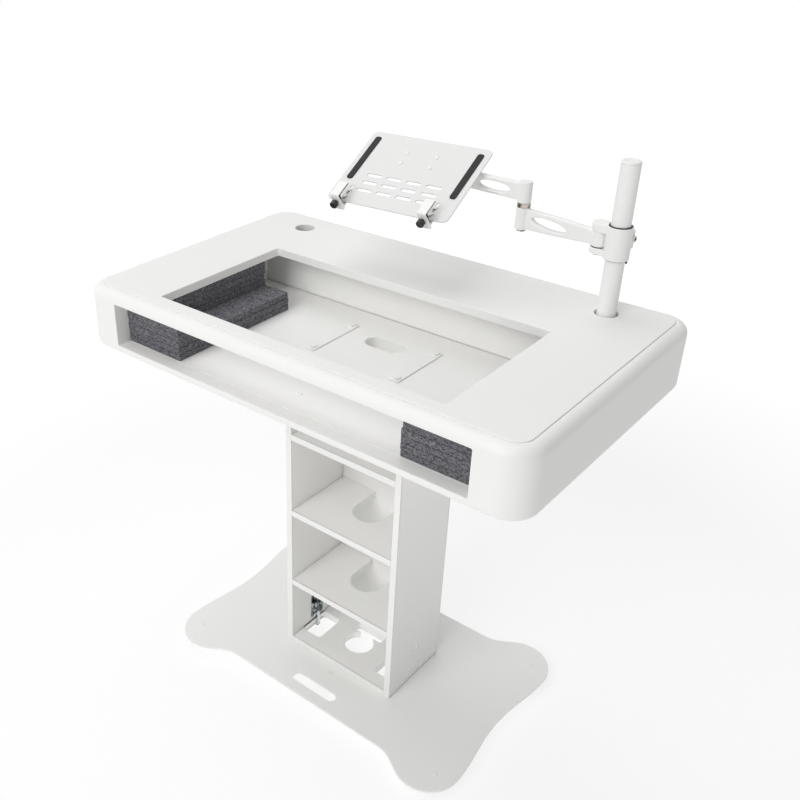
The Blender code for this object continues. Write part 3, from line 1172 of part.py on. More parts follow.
def make_edge_clamp(frame, name, side):
    """Clamp on the tray's front edge: sliding foot, hook over the laptop, its liner, and a knob."""
    x = side * CLAMP_X
    half = CLAMP_WIDTH / 2
    foot_top = TRAY_LIFT - GAP
    foot_low = foot_top - CLAMP_SHEET
    tray_top = TRAY_LIFT + TRAY_THICKNESS
    liner_front = LAPTOP_FRONT - GAP - LINER
    tab_front = liner_front - GAP - CLAMP_SHEET
    wall_front = tab_front - GAP - CLAMP_SHEET
    knob_level = tray_top + KNOB_RISE
    tab_top = tray_top + CLAMP_TAB_RISE
    knob_hole = KNOB_SCREW_RADIUS + GAP

    strip = centred(CLAMP_WIDTH, CLAMP_FOOT_LENGTH, 0.003, (x, tab_front + CLAMP_FOOT_LENGTH / 2), 3)
    tab_outline = rounded_rectangle((x - half, foot_low), (x + half, tab_top), 0.002, 2)
    tab = moved(plate(tab_outline, [circle(knob_hole, (x, knob_level), 14)], -tab_front - CLAMP_SHEET, -tab_front),
                STANDING_ALONG)
    tools = [("UNION", tab)]
    for y in guide_places():
        head_low = tray_top + GAP
        stud = drum(GUIDE_STUD_RADIUS, foot_low + 0.001, head_low + 0.0005, steps=10)
        head = drum(GUIDE_HEAD_RADIUS, head_low, head_low + GUIDE_HEAD_HEIGHT, steps=12)
        tools += [("UNION", shifted(stud, x, y)), ("UNION", shifted(head, x, y))]
    piece(f"clamp_foot_{name}", carved(plate(strip, [], foot_low, foot_top), tools), "white_arm", parent=frame)

    lip_low = tray_top + PAD_HEIGHT + LAPTOP_THICKNESS + GAP + LINER + GAP
    lip_top = lip_low + CLAMP_SHEET
    lip_back = LAPTOP_FRONT + CLAMP_LIP_LENGTH
    wall_low = foot_low - CLAMP_WALL_FOOT
    lip = rounded_rectangle((x - half, wall_front), (x + half, lip_back), 0.002, 2)
    face = [(x - half, wall_low + 0.003), (x - half + 0.003, wall_low), (x + half, wall_low),
            (x + half + CLAMP_FLARE, wall_low + 0.005), (x + half + CLAMP_FLARE, wall_low + 0.012),
            (x + half, lip_low - 0.004), (x + half, lip_top), (x - half, lip_top)]
    slot = centred(2 * knob_hole, 2 * knob_hole + HOOK_TRAVEL, knob_hole - 0.0001,
                   (x, knob_level - HOOK_TRAVEL / 2), 5)
    wall_body = moved(plate(face, [slot], -wall_front - CLAMP_SHEET, -wall_front, 0.0, 0.0008, 1), STANDING_ALONG)
    hook = carved(wall_body, [("UNION", plate(lip, [], lip_low, lip_top, 0.0, 0.0008, 1))])
    piece(f"clamp_hook_{name}", hook, "white_arm", parent=frame)

    back_strip = block((x - half, liner_front, tray_top + 0.003), (x + half, liner_front + LINER, lip_low - GAP))
    under_lip = block((x - half, liner_front, lip_low - GAP - LINER), (x + half, lip_back, lip_low - GAP))
    piece(f"clamp_liner_{name}", carved(back_strip, [("UNION", under_lip)]), "rubber", parent=frame)

    seat = wall_front - GAP
    profile = [(0.0, 0.0), (KNOB_RADIUS * 0.80, 0.0), (KNOB_RADIUS * 0.95, 0.001), (KNOB_RADIUS, 0.0025),
               (KNOB_RADIUS, KNOB_LENGTH - 0.001), (KNOB_RADIUS - 0.001, KNOB_LENGTH),
               (KNOB_NECK_RADIUS, KNOB_LENGTH), (KNOB_NECK_RADIUS, KNOB_LENGTH + KNOB_NECK_LENGTH),
               (KNOB_SCREW_RADIUS, KNOB_LENGTH + KNOB_NECK_LENGTH)]
    screw_end = KNOB_LENGTH + KNOB_NECK_LENGTH + GAP + CLAMP_SHEET + GAP + CLAMP_SHEET - 0.0004
    profile += [(KNOB_SCREW_RADIUS, screw_end), (0.0, screw_end)]
    knob = moved(turned(profile, 16), Matrix.Rotation(math.radians(-90), 4, "X"))
    face_y = seat - KNOB_LENGTH - KNOB_NECK_LENGTH
    piece(f"clamp_knob_{name}", knob, "black_plastic", (x, face_y, knob_level), parent=frame)


for thing in list(bpy.data.objects):
    bpy.data.objects.remove(thing)
make_foot_plate()
make_feet()
make_tower_sides()
make_tower_back()
make_tower_boards()
make_table_straps()
make_latch("left", -1)
make_latch("right", 1)
make_table_rim()
make_table_panel()
make_table_floor()
make_bay_boards()
make_foam()
make_mast()
make_collar()
make_clamp()
make_lower_arm()
make_upper_arm()
make_wrist()
tray = tray_frame()
make_tray_bracket(tray)
make_tray(tray)
make_edge_clamp(tray, "left", -1)
make_edge_clamp(tray, "right", 1)
bpy.context.view_layer.update()
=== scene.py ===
import json
import math

import bpy
import numpy as np
from mathutils import Matrix, Vector, geometry


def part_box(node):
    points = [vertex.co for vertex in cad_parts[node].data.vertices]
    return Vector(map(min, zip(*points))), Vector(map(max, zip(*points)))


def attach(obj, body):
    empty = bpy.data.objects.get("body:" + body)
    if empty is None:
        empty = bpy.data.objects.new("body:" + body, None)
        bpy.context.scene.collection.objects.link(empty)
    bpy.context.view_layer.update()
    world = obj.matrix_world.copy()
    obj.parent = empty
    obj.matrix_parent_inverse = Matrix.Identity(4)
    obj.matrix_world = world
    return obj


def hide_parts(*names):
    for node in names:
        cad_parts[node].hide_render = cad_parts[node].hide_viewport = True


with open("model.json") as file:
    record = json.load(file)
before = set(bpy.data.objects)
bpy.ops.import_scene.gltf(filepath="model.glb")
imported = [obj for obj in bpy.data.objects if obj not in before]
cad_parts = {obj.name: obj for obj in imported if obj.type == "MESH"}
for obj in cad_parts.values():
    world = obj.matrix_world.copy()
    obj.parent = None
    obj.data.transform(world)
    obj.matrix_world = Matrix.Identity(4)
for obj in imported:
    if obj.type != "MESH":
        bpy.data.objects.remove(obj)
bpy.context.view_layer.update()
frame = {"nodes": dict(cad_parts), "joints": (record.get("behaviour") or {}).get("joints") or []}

# The camera stands where the photograph was taken from, to the user's right and above the table.
# Its axis misses the middle of the picture, so the frame is shifted instead of turned.
CAMERA_PLACE = (1.0289, -1.4287, 1.7116)
CAMERA_AZIMUTH = 41.85
CAMERA_ELEVATION = 29.75
CAMERA_ROLL = -0.77
CAMERA_LENS = 43.47
CAMERA_SHIFT = (0.148, 0.00375)


def camera_axes(azimuth, elevation, roll):
    """Right, up and back axes of a camera, from its bearing round Z, its height angle and its roll."""
    azimuth, elevation, roll = np.radians([azimuth, elevation, roll])
    right = np.array([math.cos(azimuth), math.sin(azimuth), 0.0])
    level = math.cos(elevation)
    back = np.array([math.sin(azimuth) * level, -math.cos(azimuth) * level, math.sin(elevation)])
    up = np.cross(back, right)
    return math.cos(roll) * right + math.sin(roll) * up, math.cos(roll) * up - math.sin(roll) * right, back


camera = bpy.data.objects.new("camera", bpy.data.cameras.new("camera"))
bpy.context.scene.collection.objects.link(camera)
camera.data.lens = CAMERA_LENS
camera.data.shift_x, camera.data.shift_y = CAMERA_SHIFT
camera_turn = Matrix([list(axis) for axis in camera_axes(CAMERA_AZIMUTH, CAMERA_ELEVATION, CAMERA_ROLL)]).transposed()
camera.matrix_world = Matrix.Translation(CAMERA_PLACE) @ camera_turn.to_4x4()
bpy.context.scene.camera = camera
bpy.context.scene.view_settings.view_transform = "Standard"

# The studio: a white paper floor, a large soft light high on the left and another high in front, both far off.
# The right-hand faces get only what the white room and the floor send back, as in the photograph.
FLOOR_WHITE = "F4F4F4"
FLOOR_RADIUS = 9.0
FLOOR_GLOW = 0.50
PAPER_GLOW = 1.12
LIFT_REACH = (1.2, 3.2)
LIFT_NEAR = 0.62
LIGHTS = (
    ("high_left_light", (-2.4, 0.6, 7.0), 6.5, 170.0),
    ("front_light", (-0.3, -6.0, 5.0), 5.0, 221.0),
)
LIGHT_TARGET = (0.0, 0.0, 0.7)
ROOM_STRENGTH = 0.33


def linear_colour(code):
    """An sRGB hex colour as linear light with full alpha, by the sRGB curve."""
    channels = np.array([int(code[i:i + 2], 16) for i in (0, 2, 4)]) / 255.0
    light = np.where(channels <= 0.04045, channels / 12.92, ((channels + 0.055) / 1.055) ** 2.4)
    return (*light.tolist(), 1.0)


def add_node(tree, kind, inputs=(), settings=()):
    """Adds a node, sets its properties, and gives each named input a value or a link from a socket."""
    node = tree.nodes.new(kind)
    for name, value in dict(settings).items():
        setattr(node, name, value)
    for name, value in dict(inputs).items():
        if isinstance(value, bpy.types.NodeSocket):
            tree.links.new(value, node.inputs[name])
        else:
            node.inputs[name].default_value = value
    return node


def white_room():
    """White for the camera and for gloss, and a weaker even light on everything else."""
    world = bpy.data.worlds.new("white_room")
    world.use_nodes = True
    tree = world.node_tree
    tree.nodes.clear()
    path = add_node(tree, "ShaderNodeLightPath")
    seen = add_node(tree, "ShaderNodeMath", {0: path.outputs["Is Camera Ray"], 1: path.outputs["Is Glossy Ray"]},
                    {"operation": "MAXIMUM"})
    lighting = add_node(tree, "ShaderNodeBackground", {"Color": (1, 1, 1, 1), "Strength": ROOM_STRENGTH})
    backdrop = add_node(tree, "ShaderNodeBackground", {"Color": (1, 1, 1, 1), "Strength": 1.0})
    mixed = add_node(tree, "ShaderNodeMixShader", {0: seen.outputs[0], 1: lighting.outputs[0], 2: backdrop.outputs[0]})
    add_node(tree, "ShaderNodeOutputWorld", {"Surface": mixed.outputs[0]})
    return world


def white_paper():
    """Matt white paper. The camera sees it lifted towards pure white, the more so the further off it lies.

    Near the object the lift is partial, so that the object's shadow is kept.
    """
    material = bpy.data.materials.new("white_sweep_paper")
    material.use_nodes = True
    tree = material.node_tree
    tree.nodes.clear()
    paper = add_node(tree, "ShaderNodeBsdfDiffuse", {"Color": linear_colour(FLOOR_WHITE)})
    glow = add_node(tree, "ShaderNodeEmission", {"Color": (1, 1, 1, 1), "Strength": PAPER_GLOW})
    path = add_node(tree, "ShaderNodeLightPath")
    where = add_node(tree, "ShaderNodeTexCoord").outputs["Object"]
    reach = add_node(tree, "ShaderNodeVectorMath", {0: where}, {"operation": "LENGTH"}).outputs["Value"]
    share = add_node(tree, "ShaderNodeMapRange", {0: reach, 1: LIFT_REACH[0], 2: LIFT_REACH[1], 3: LIFT_NEAR, 4: 1.0})
    lift = add_node(tree, "ShaderNodeMapRange",
                    {0: path.outputs["Is Camera Ray"], 3: FLOOR_GLOW, 4: share.outputs[0]})
    mixed = add_node(tree, "ShaderNodeMixShader", {0: lift.outputs[0], 1: paper.outputs[0], 2: glow.outputs[0]})
    add_node(tree, "ShaderNodeOutputMaterial", {"Surface": mixed.outputs[0]})
    return material


bpy.context.scene.world = white_room()
floor_mesh = bpy.data.meshes.new("floor")
floor_turns = np.linspace(0.0, 2 * math.pi, 64, endpoint=False)
floor_points = np.stack([np.cos(floor_turns), np.sin(floor_turns), np.zeros_like(floor_turns)], axis=1)
floor_mesh.from_pydata((FLOOR_RADIUS * floor_points).tolist(), [], [list(range(len(floor_points)))])
floor_mesh.materials.append(white_paper())
floor = bpy.data.objects.new("floor", floor_mesh)
bpy.context.scene.collection.objects.link(floor)
for light_name, light_place, light_size, light_power in LIGHTS:
    light_data = bpy.data.lights.new(light_name, "AREA")
    light_data.shape = "DISK"
    light_data.size = light_size
    light_data.energy = light_power
    light = bpy.data.objects.new(light_name, light_data)
    light.location = light_place
    light.rotation_euler = (Vector(LIGHT_TARGET) - Vector(light_place)).to_track_quat("-Z", "Y").to_euler()
    bpy.context.scene.collection.objects.link(light)

# Foot plate: 5 mm laser-cut steel with rounded lobes, powder coated white.
# It has a hand slot, the holes that line up with the tower's bottom board, and a screw to each foot.
PLATE_WAIST_X = 0.374
PLATE_LOBE = (0.3915, 0.185)
PLATE_LOBE_END = (0.318, 0.2625)
PLATE_STRAIGHT = (0.212, 0.2215)
WAIST_HANDLES = (0.4, 0.6)
LOBE_HANDLE = 0.55
STRAIGHT_HANDLE = 0.42
PLATE_EDGE = 0.0009
HAND_SLOT = (0.122, 0.024)
HAND_SLOT_Y = -0.180
LATCH_HOLE = (0.052, 0.083)
LATCH_HOLE_X = 0.1082
LATCH_HOLE_Y = -0.020
LATCH_HOLE_CORNER = 0.009
KEYHOLE_RADIUS = 0.036
KEYHOLE_Y = -0.010
KEYHOLE_BAR_HALF = 0.041
KEYHOLE_BAR = (0.021, 0.046)
KEYHOLE_CORNER = 0.006
FOOT_SCREW_HOLE = 0.0032
SUPPORT_SHARE = 0.35
FREE_SHARE = 0.4
TINY = 1e-6
ROUND_END_SLACK = 0.0001
SHARP_ANGLE = 50.0


def arc(centre, radius, start, end, steps):
    """Points on a circle between two angles in degrees."""
    turns = np.radians(np.linspace(start, end, steps + 1))
    return np.stack([centre[0] + radius * np.cos(turns), centre[1] + radius * np.sin(turns)], axis=1)


def circle(radius, centre, steps):
    """A full circle, anticlockwise."""
    return arc(centre, radius, 0.0, 360.0, steps)[:-1]


def filleted(corners, radii, steps, closed=True, margin=0.001):
    """A polygon or polyline with each corner replaced by a tangent arc.

    A point stands just outside each arc, at most the margin off and never past the middle of what is left of
    the edge, so that smooth shading stays off the flat faces.
    """
    corners = np.asarray(corners, float)
    radii = np.array(np.broadcast_to(np.asarray(radii, float), len(corners)))
    if not closed:
        radii[[0, -1]] = 0.0
    before = np.roll(corners, 1, axis=0) - corners
    after = np.roll(corners, -1, axis=0) - corners
    reach = np.linalg.norm(after, axis=1)
    before = before / np.linalg.norm(before, axis=1)[:, None]
    after = after / reach[:, None]
    half = np.arccos(np.clip(np.sum(before * after, axis=1), -1.0, 1.0)) / 2
    tangent = np.where(radii > 0.0, radii / np.tan(np.maximum(half, TINY)), 0.0)
    free = reach - tangent - np.roll(tangent, -1)
    points = []
    for index, radius in enumerate(radii):
        if radius == 0.0:
            points.append(corners[index][None])
            continue
        bisector = before[index] + after[index]
        middle = corners[index] + bisector / np.linalg.norm(bisector) * radius / math.sin(half[index])
        first = corners[index] + before[index] * tangent[index]
        last = corners[index] + after[index] * tangent[index]
        share = np.linspace(0.0, 1.0, steps + 1)[:, None]
        turn = math.pi - 2 * half[index]
        sweep = np.sin((1 - share) * turn) * (first - middle) + np.sin(share * turn) * (last - middle)
        margins = [min(SUPPORT_SHARE * radius, margin, FREE_SHARE * max(room, 0.0))
                   for room in (free[index - 1], free[index])]
        if margins[0] > TINY:
            points.append((first + before[index] * margins[0])[None])
        points.append(middle + sweep / math.sin(turn))
        if margins[1] > TINY:
            points.append((last + after[index] * margins[1])[None])
    return np.concatenate(points)


def rectangle(size, centre, corner, steps):
    """A rounded rectangle about its centre, anticlockwise."""
    signs = np.array([(-1, -1), (1, -1), (1, 1), (-1, 1)])
    return filleted(np.array(centre) + signs * np.array(size) / 2, corner, steps)


def round_ended(size, centre, steps):
    """A rectangle whose short sides are half circles."""
    return rectangle(size, centre, min(size) / 2 - ROUND_END_SLACK, steps)


def inset(outline, distance):
    """An anticlockwise outline moved inwards, each point along the mitre of its two edges."""
    forward = np.roll(outline, -1, axis=0) - outline
    forward /= np.linalg.norm(forward, axis=1)[:, None]
    normal = np.stack([-forward[:, 1], forward[:, 0]], axis=1)
    mitre = normal + np.roll(normal, 1, axis=0)
    mitre /= np.sum(mitre * normal, axis=1)[:, None]
    return outline + distance * mitre


def rounded_rim(low, high, low_round, high_round=None, steps=4, border=0.0012):
    """(inset, height) rows up the rim of a flat piece: a quarter circle at each face and a flat border inside it."""
    high_round = low_round if high_round is None else high_round
    corners = [(low_round + border, low), (0.0, low), (0.0, high), (high_round + border, high)]
    return filleted(corners, [0.0, low_round, high_round, 0.0], steps, closed=False)


def grid_faces(rows, columns, closed_rows=False, start=0):
    """Quads of a grid numbered row by row, closed along its rows, and across them where asked."""
    row = np.arange(rows if closed_rows else rows - 1)[:, None]
    column = np.arange(columns)[None]
    next_row, next_column = (row + 1) % rows, (column + 1) % columns
    quads = np.stack([row * columns + column, row * columns + next_column,
                      next_row * columns + next_column, next_row * columns + column], axis=-1)
    return (quads.reshape(-1, 4) + start).tolist()


def filled(loops, numbers, flip):
    """Triangles across a flat face between an outline and its holes, as the vertex numbers given for each loop."""
    flat = [[Vector((x, y, 0.0)) for x, y in loop] for loop in loops]
    numbers, points = np.concatenate(numbers), np.concatenate(loops)
    corners = np.array(geometry.tessellate_polygon(flat))
    first, second = points[corners[:, 1]] - points[corners[:, 0]], points[corners[:, 2]] - points[corners[:, 0]]
    turned_round = ((first[:, 0] * second[:, 1] - first[:, 1] * second[:, 0]) > 0) == flip
    corners[turned_round] = corners[turned_round][:, ::-1]
    return numbers[corners].tolist()


def carried(outline, section, side=1.0):
    """Rows of points: for each (inset, height) of a section, the outline moved in by the one and up by the other."""
    return np.stack([np.column_stack([inset(outline, side * step), np.full(len(outline), height)])
                     for step, height in section])


def slab(outline, holes, rim):
    """A flat piece: the rim's rows are carried round the outline and round each hole, and two faces close it."""
    vertices, faces, start = [], [], 0
    lows, highs, low_numbers, high_numbers = [], [], [], []
    for number, loop in enumerate([outline, *holes]):
        side = 1.0 if number == 0 else -1.0
        rows = carried(loop, rim, side)
        quads = grid_faces(len(rim), len(loop), start=start)
        faces += quads if number == 0 else [quad[::-1] for quad in quads]
        vertices.append(rows.reshape(-1, 3))
        lows.append(rows[0, :, :2])
        highs.append(rows[-1, :, :2])
        low_numbers.append(start + np.arange(len(loop)))
        high_numbers.append(start + (len(rim) - 1) * len(loop) + np.arange(len(loop)))
        start += len(rim) * len(loop)
    faces += filled(lows, low_numbers, True) + filled(highs, high_numbers, False)
    return np.concatenate(vertices), faces


def merged(shapes):
    """Several closed shapes as one set of vertices and faces."""
    vertices, faces, start = [], [], 0
    for points, polygons in shapes:
        vertices.append(points)
        faces += [[corner + start for corner in polygon] for polygon in polygons]
        start += len(points)
    return np.concatenate(vertices), faces


def moved(shape, matrix):
    """A shape turned and shifted by a 4 by 4 matrix."""
    matrix = np.asarray(matrix, float)
    return shape[0] @ matrix[:3, :3].T + matrix[:3, 3], shape[1]


def shifted(shape, x=0.0, y=0.0, z=0.0):
    """A shape moved along the axes."""
    return shape[0] + np.array([x, y, z]), shape[1]


def finished(name, shape, material, body, nodes=()):
    """Makes the mesh of a piece, with its finish, the body that it rides on and the CAD nodes it stands for."""
    mesh = bpy.data.meshes.new(name)
    mesh.from_pydata(shape[0].tolist(), [], shape[1])
    mesh.shade_smooth()
    mesh.set_sharp_from_angle(angle=math.radians(SHARP_ANGLE))
    mesh.materials.append(material)
    piece = bpy.data.objects.new(name, mesh)
    bpy.context.scene.collection.objects.link(piece)
    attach(piece, body)
    if nodes:
        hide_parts(*nodes)
    return piece


def surfaced(name):
    """A new material, with its node tree, its surface and a socket of Object coordinates."""
    material = bpy.data.materials.new(name)
    material.use_nodes = True
    tree = material.node_tree
    return material, tree, tree.nodes["Principled BSDF"], add_node(tree, "ShaderNodeTexCoord").outputs["Object"]


def painted(name, colour, shade, roughness, grain, depth, drift=0.35):
    """A paint film: its colour drifts slowly towards a shade, and its surface has a fine even texture.

    grain is the texture's size and drift the patches' size, in metres; depth is the bump's height in metres.
    """
    material, tree, surface, where = surfaced(name)
    patches = add_node(tree, "ShaderNodeTexNoise", {"Vector": where, "Scale": 1 / drift, "Detail": 2.0})
    tint = add_node(tree, "ShaderNodeMix", {0: patches.outputs[0], 6: linear_colour(colour), 7: linear_colour(shade)},
                    {"data_type": "RGBA"})
    texture = add_node(tree, "ShaderNodeTexNoise", {"Vector": where, "Scale": 1 / grain, "Detail": 2.0})
    gloss = add_node(tree, "ShaderNodeMapRange", {0: texture.outputs[0], 3: roughness - 0.04, 4: roughness + 0.04})
    bump = add_node(tree, "ShaderNodeBump", {"Height": texture.outputs[0], "Distance": depth, "Strength": 0.6})
    tree.links.new(tint.outputs[2], surface.inputs["Base Color"])
    tree.links.new(gloss.outputs[0], surface.inputs["Roughness"])
    tree.links.new(bump.outputs[0], surface.inputs["Normal"])
    surface.inputs["IOR"].default_value = 1.5
    return material


# White polyester powder coat: baked on, so it has a fine orange peel of about 1.4 mm and a soft sheen.
white_powder_coat = painted("white_powder_coat_on_steel", "F9F9F8", "F7F7F5", 0.42, 0.0014, 0.00003)


def bezier(start, first, second, end, steps):
    """Points of a cubic curve between two ends and two handles, without its last point."""
    t = np.linspace(0.0, 1.0, steps, endpoint=False)[:, None]
    ends = (1 - t) ** 3 * np.array(start) + t ** 3 * np.array(end)
    return ends + 3 * (1 - t) ** 2 * t * np.array(first) + 3 * (1 - t) * t ** 2 * np.array(second)


def plate_outline():
    """One quarter runs from the waist round a lobe to the straight front, and is mirrored to the others."""
    (side_x, side_y), (end_x, end_y), (straight_x, straight_y) = PLATE_LOBE, PLATE_LOBE_END, PLATE_STRAIGHT
    rise, reach, run = (share * span for share, span in (
        (LOBE_HANDLE, end_y - side_y), (LOBE_HANDLE, side_x - end_x), (STRAIGHT_HANDLE, end_x - straight_x)))
    quarter = np.concatenate([
        bezier((PLATE_WAIST_X, 0.0), (PLATE_WAIST_X, WAIST_HANDLES[0] * side_y), (side_x, WAIST_HANDLES[1] * side_y),
               PLATE_LOBE, 24),
        bezier(PLATE_LOBE, (side_x, side_y + rise), (end_x + reach, end_y), PLATE_LOBE_END, 28),
        bezier(PLATE_LOBE_END, (end_x - run, end_y), (straight_x + run, straight_y), PLATE_STRAIGHT, 24),
        [PLATE_STRAIGHT]])
    half = np.concatenate([quarter, (quarter * (-1, 1))[::-1][:-1]])
    return np.concatenate([half, -half])


def keyhole_outline():
    """A circle whose back runs into a bar with rounded corners."""
    neck = math.degrees(math.asin((KEYHOLE_BAR[0] - KEYHOLE_Y) / KEYHOLE_RADIUS))
    bar = [(KEYHOLE_BAR_HALF, KEYHOLE_BAR[0]), (KEYHOLE_BAR_HALF, KEYHOLE_BAR[1]),
           (-KEYHOLE_BAR_HALF, KEYHOLE_BAR[1]), (-KEYHOLE_BAR_HALF, KEYHOLE_BAR[0])]
    ends = arc((0.0, KEYHOLE_Y), KEYHOLE_RADIUS, 180.0 - neck, 360.0 + neck, 40)
    corners = filleted([ends[-1], *bar, ends[0]], KEYHOLE_CORNER, 5, closed=False)
    return np.concatenate([ends, corners[1:-1]])


def bottom_holes():
    """The three holes that go through the tower's bottom board and the foot plate alike."""
    sides = [rectangle(LATCH_HOLE, (side * LATCH_HOLE_X, LATCH_HOLE_Y), LATCH_HOLE_CORNER, 6) for side in (-1, 1)]
    return [*sides, keyhole_outline()]


foot_nodes = sorted(name for name in frame["nodes"] if name.startswith("base_foot"))
foot_centres = {name: np.mean(np.array(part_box(name)), axis=0)[:2] for name in foot_nodes}
plate_low, plate_high = (corner[2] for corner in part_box("base_plate"))
plate_holes = [round_ended(HAND_SLOT, (0.0, HAND_SLOT_Y), 10), *bottom_holes()]
plate_holes += [circle(FOOT_SCREW_HOLE, centre, 20) for centre in foot_centres.values()]
finished("foot_plate", slab(plate_outline(), plate_holes, rounded_rim(plate_low, plate_high, PLATE_EDGE)),
         white_powder_coat, "podium", ["base_plate"])

# Feet: black rubber pucks with a dished sole, moulded with a faint draft.
# Each is drawn up against the plate by a white domed screw with a hexagon socket.
FOOT_RADIUS = 0.019
FOOT_DRAFT = 0.002
CLEARANCE = 0.0003
DISH_RADII = (0.0065, 0.0085)
DISH_DEPTH = 0.003
SCREW_HEAD_RADIUS = 0.0062
SCREW_HEAD_HEIGHT = 0.0017
SOCKET_RADIUS = 0.0022


def turned(profile, steps=64):
    """A profile of (radius, height) points turned about Z. Ends on the axis close it, or else it is a ring."""
    profile = np.asarray(profile, float)
    ring = profile[0, 0] > 0.0
    body = profile if ring else profile[1:-1]
    turns = np.linspace(0.0, 2 * math.pi, steps, endpoint=False)
    rings = np.stack([body[:, :1] * np.cos(turns), body[:, :1] * np.sin(turns),
                      np.repeat(body[:, 1:], steps, axis=1)], axis=-1)
    faces = grid_faces(len(body), steps, closed_rows=ring)
    vertices = rings.reshape(-1, 3)
    if not ring:
        first, last = len(vertices), len(vertices) + 1
        vertices = np.concatenate([vertices, [(0.0, 0.0, profile[0, 1]), (0.0, 0.0, profile[-1, 1])]])
        column = np.arange(steps)
        after = (column + 1) % steps
        top = (len(body) - 1) * steps
        faces += np.stack([after, column, np.full(steps, first)], axis=1).tolist()
        faces += np.stack([column + top, after + top, np.full(steps, last)], axis=1).tolist()
    return vertices, faces


def soft_profile(corners, radii, steps=4):
    """The outline of a solid turned piece from its under side up: rounded corners, closed at both ends on the axis."""
    ends = [(0.0, corners[0][1]), (0.0, corners[-1][1])]
    return filleted([ends[0], *corners, ends[1]], [0.0, *radii, 0.0], steps, closed=False)


def socket_screw(head_radius, head_height, seat):
    """A screw head on its seat: a rim to half its height, a dome in to 0.72 of its radius, and a tapered socket."""
    top = seat + head_height
    floor_level = top - 0.8 * head_height
    profile = soft_profile([(head_radius, seat), (head_radius, seat + 0.5 * head_height), (0.72 * head_radius, top),
                            (SOCKET_RADIUS, top), (0.92 * SOCKET_RADIUS, floor_level)],
                           [0.0002, 0.3 * head_height, 0.3 * head_height, 0.0001, 0.0001])
    return turned(profile, 36)


def moulded(name, colour, roughness, grain, depth):
    """Moulded rubber or plastic: one colour with an eroded texture of that grain, a little uneven in its sheen."""
    material, tree, surface, where = surfaced(name)
    texture = add_node(tree, "ShaderNodeTexNoise", {"Vector": where, "Scale": 1 / grain, "Detail": 3.0})
    wear = add_node(tree, "ShaderNodeTexNoise", {"Vector": where, "Scale": 90.0, "Detail": 2.0})
    gloss = add_node(tree, "ShaderNodeMapRange", {0: wear.outputs[0], 3: roughness - 0.08, 4: roughness + 0.08})
    bump = add_node(tree, "ShaderNodeBump", {"Height": texture.outputs[0], "Distance": depth, "Strength": 0.8})
    surface.inputs["Base Color"].default_value = linear_colour(colour)
    tree.links.new(gloss.outputs[0], surface.inputs["Roughness"])
    tree.links.new(bump.outputs[0], surface.inputs["Normal"])
    return material


# Black natural rubber: matt, with a fine mould texture that greys it where light grazes.
black_rubber = moulded("black_moulded_rubber", "1C1C1D", 0.78, 0.0006, 0.00006)
foot_top = plate_low - CLEARANCE
foot_profile = soft_profile([(DISH_RADII[0], DISH_DEPTH), (DISH_RADII[1], 0.0), (FOOT_RADIUS - FOOT_DRAFT, 0.0),
                             (FOOT_RADIUS, foot_top)],
                            [0.0008, 0.0008, 0.002, 0.0015])
foot_screw = socket_screw(SCREW_HEAD_RADIUS, SCREW_HEAD_HEIGHT, plate_high + CLEARANCE)
for foot_name, foot_place in foot_centres.items():
    label = foot_name.replace("base_foot_", "")
    finished(f"rubber_foot_{label}", shifted(turned(foot_profile), *foot_place), black_rubber, "podium",
             [foot_name])
    finished(f"foot_screw_{label}", shifted(foot_screw, *foot_place), white_powder_coat, "podium")

# Tower carcass: 15 mm medium-density board with a white lacquer, glued and screwed between its two sides.
# The edges are eased by hand, so every board has a soft 1 mm arris, and a hairline shows at each joint.
BOARD_EDGE = 0.0011
BOARD_CORNER = 0.0011
NOTCH_RADIUS = 0.039
NOTCH_Y = 0.012
NOTCH_CORNER = 0.003
BOLT_PLACES = [(sx * 0.105, sy * 0.066) for sx in (-1, 1) for sy in (-1, 1)]
BOLT_HOLE = 0.0045
CABLE_HOLE = (0.090, 0.044)
CABLE_HOLE_Y = 0.040

# Roller-applied lacquer over board: warmer and flatter than the powder coat, with a 2.5 mm roller texture.
white_lacquered_board = painted("white_lacquered_board", "FAFAF8", "F8F7F5", 0.50, 0.0025, 0.00004, 0.22)
ACROSS = np.array([(0, 0, 1, 0), (1, 0, 0, 0), (0, 1, 0, 0), (0, 0, 0, 1)], float)
ALONG = np.array([(1, 0, 0, 0), (0, 0, -1, 0), (0, 1, 0, 0), (0, 0, 0, 1)], float)
BOARD_TURNS = {"across_x": ([1, 2], ACROSS), "across_y": ([0, 2], ALONG), "flat": ([0, 1], np.eye(4))}


def board(node, name, stands, holes=(), outline=None):
    """A board with eased edges that fills its node's box, or an outline of its own between the box's faces."""
    low, high = (np.array(corner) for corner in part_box(node))
    axes, turn = BOARD_TURNS[stands]
    if outline is None:
        outline = rectangle((high - low)[axes], ((high + low) / 2)[axes], BOARD_CORNER, 3)
    faces = {"across_x": (low[0], high[0]), "across_y": (-high[1], -low[1]), "flat": (low[2], high[2])}[stands]
    shape = slab(outline, list(holes), rounded_rim(*faces, BOARD_EDGE))
    finished(name, moved(shape, turn), white_lacquered_board, "podium", [node])


def notched_outline(node):
    """A shelf with a round-ended notch let into its back edge."""
    (left, front, _), (right, back, _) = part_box(node)
    notch = arc((0.0, NOTCH_Y), NOTCH_RADIUS, 360.0, 180.0, 32)
    corner = filleted([(left, front), (right, front), (right, back), (NOTCH_RADIUS, back), notch[0]],
                      [0.0, BOARD_CORNER, BOARD_CORNER, NOTCH_CORNER, 0.0], 4, closed=False)[1:-1]
    return np.concatenate([corner, notch, corner[::-1] * (-1, 1)])


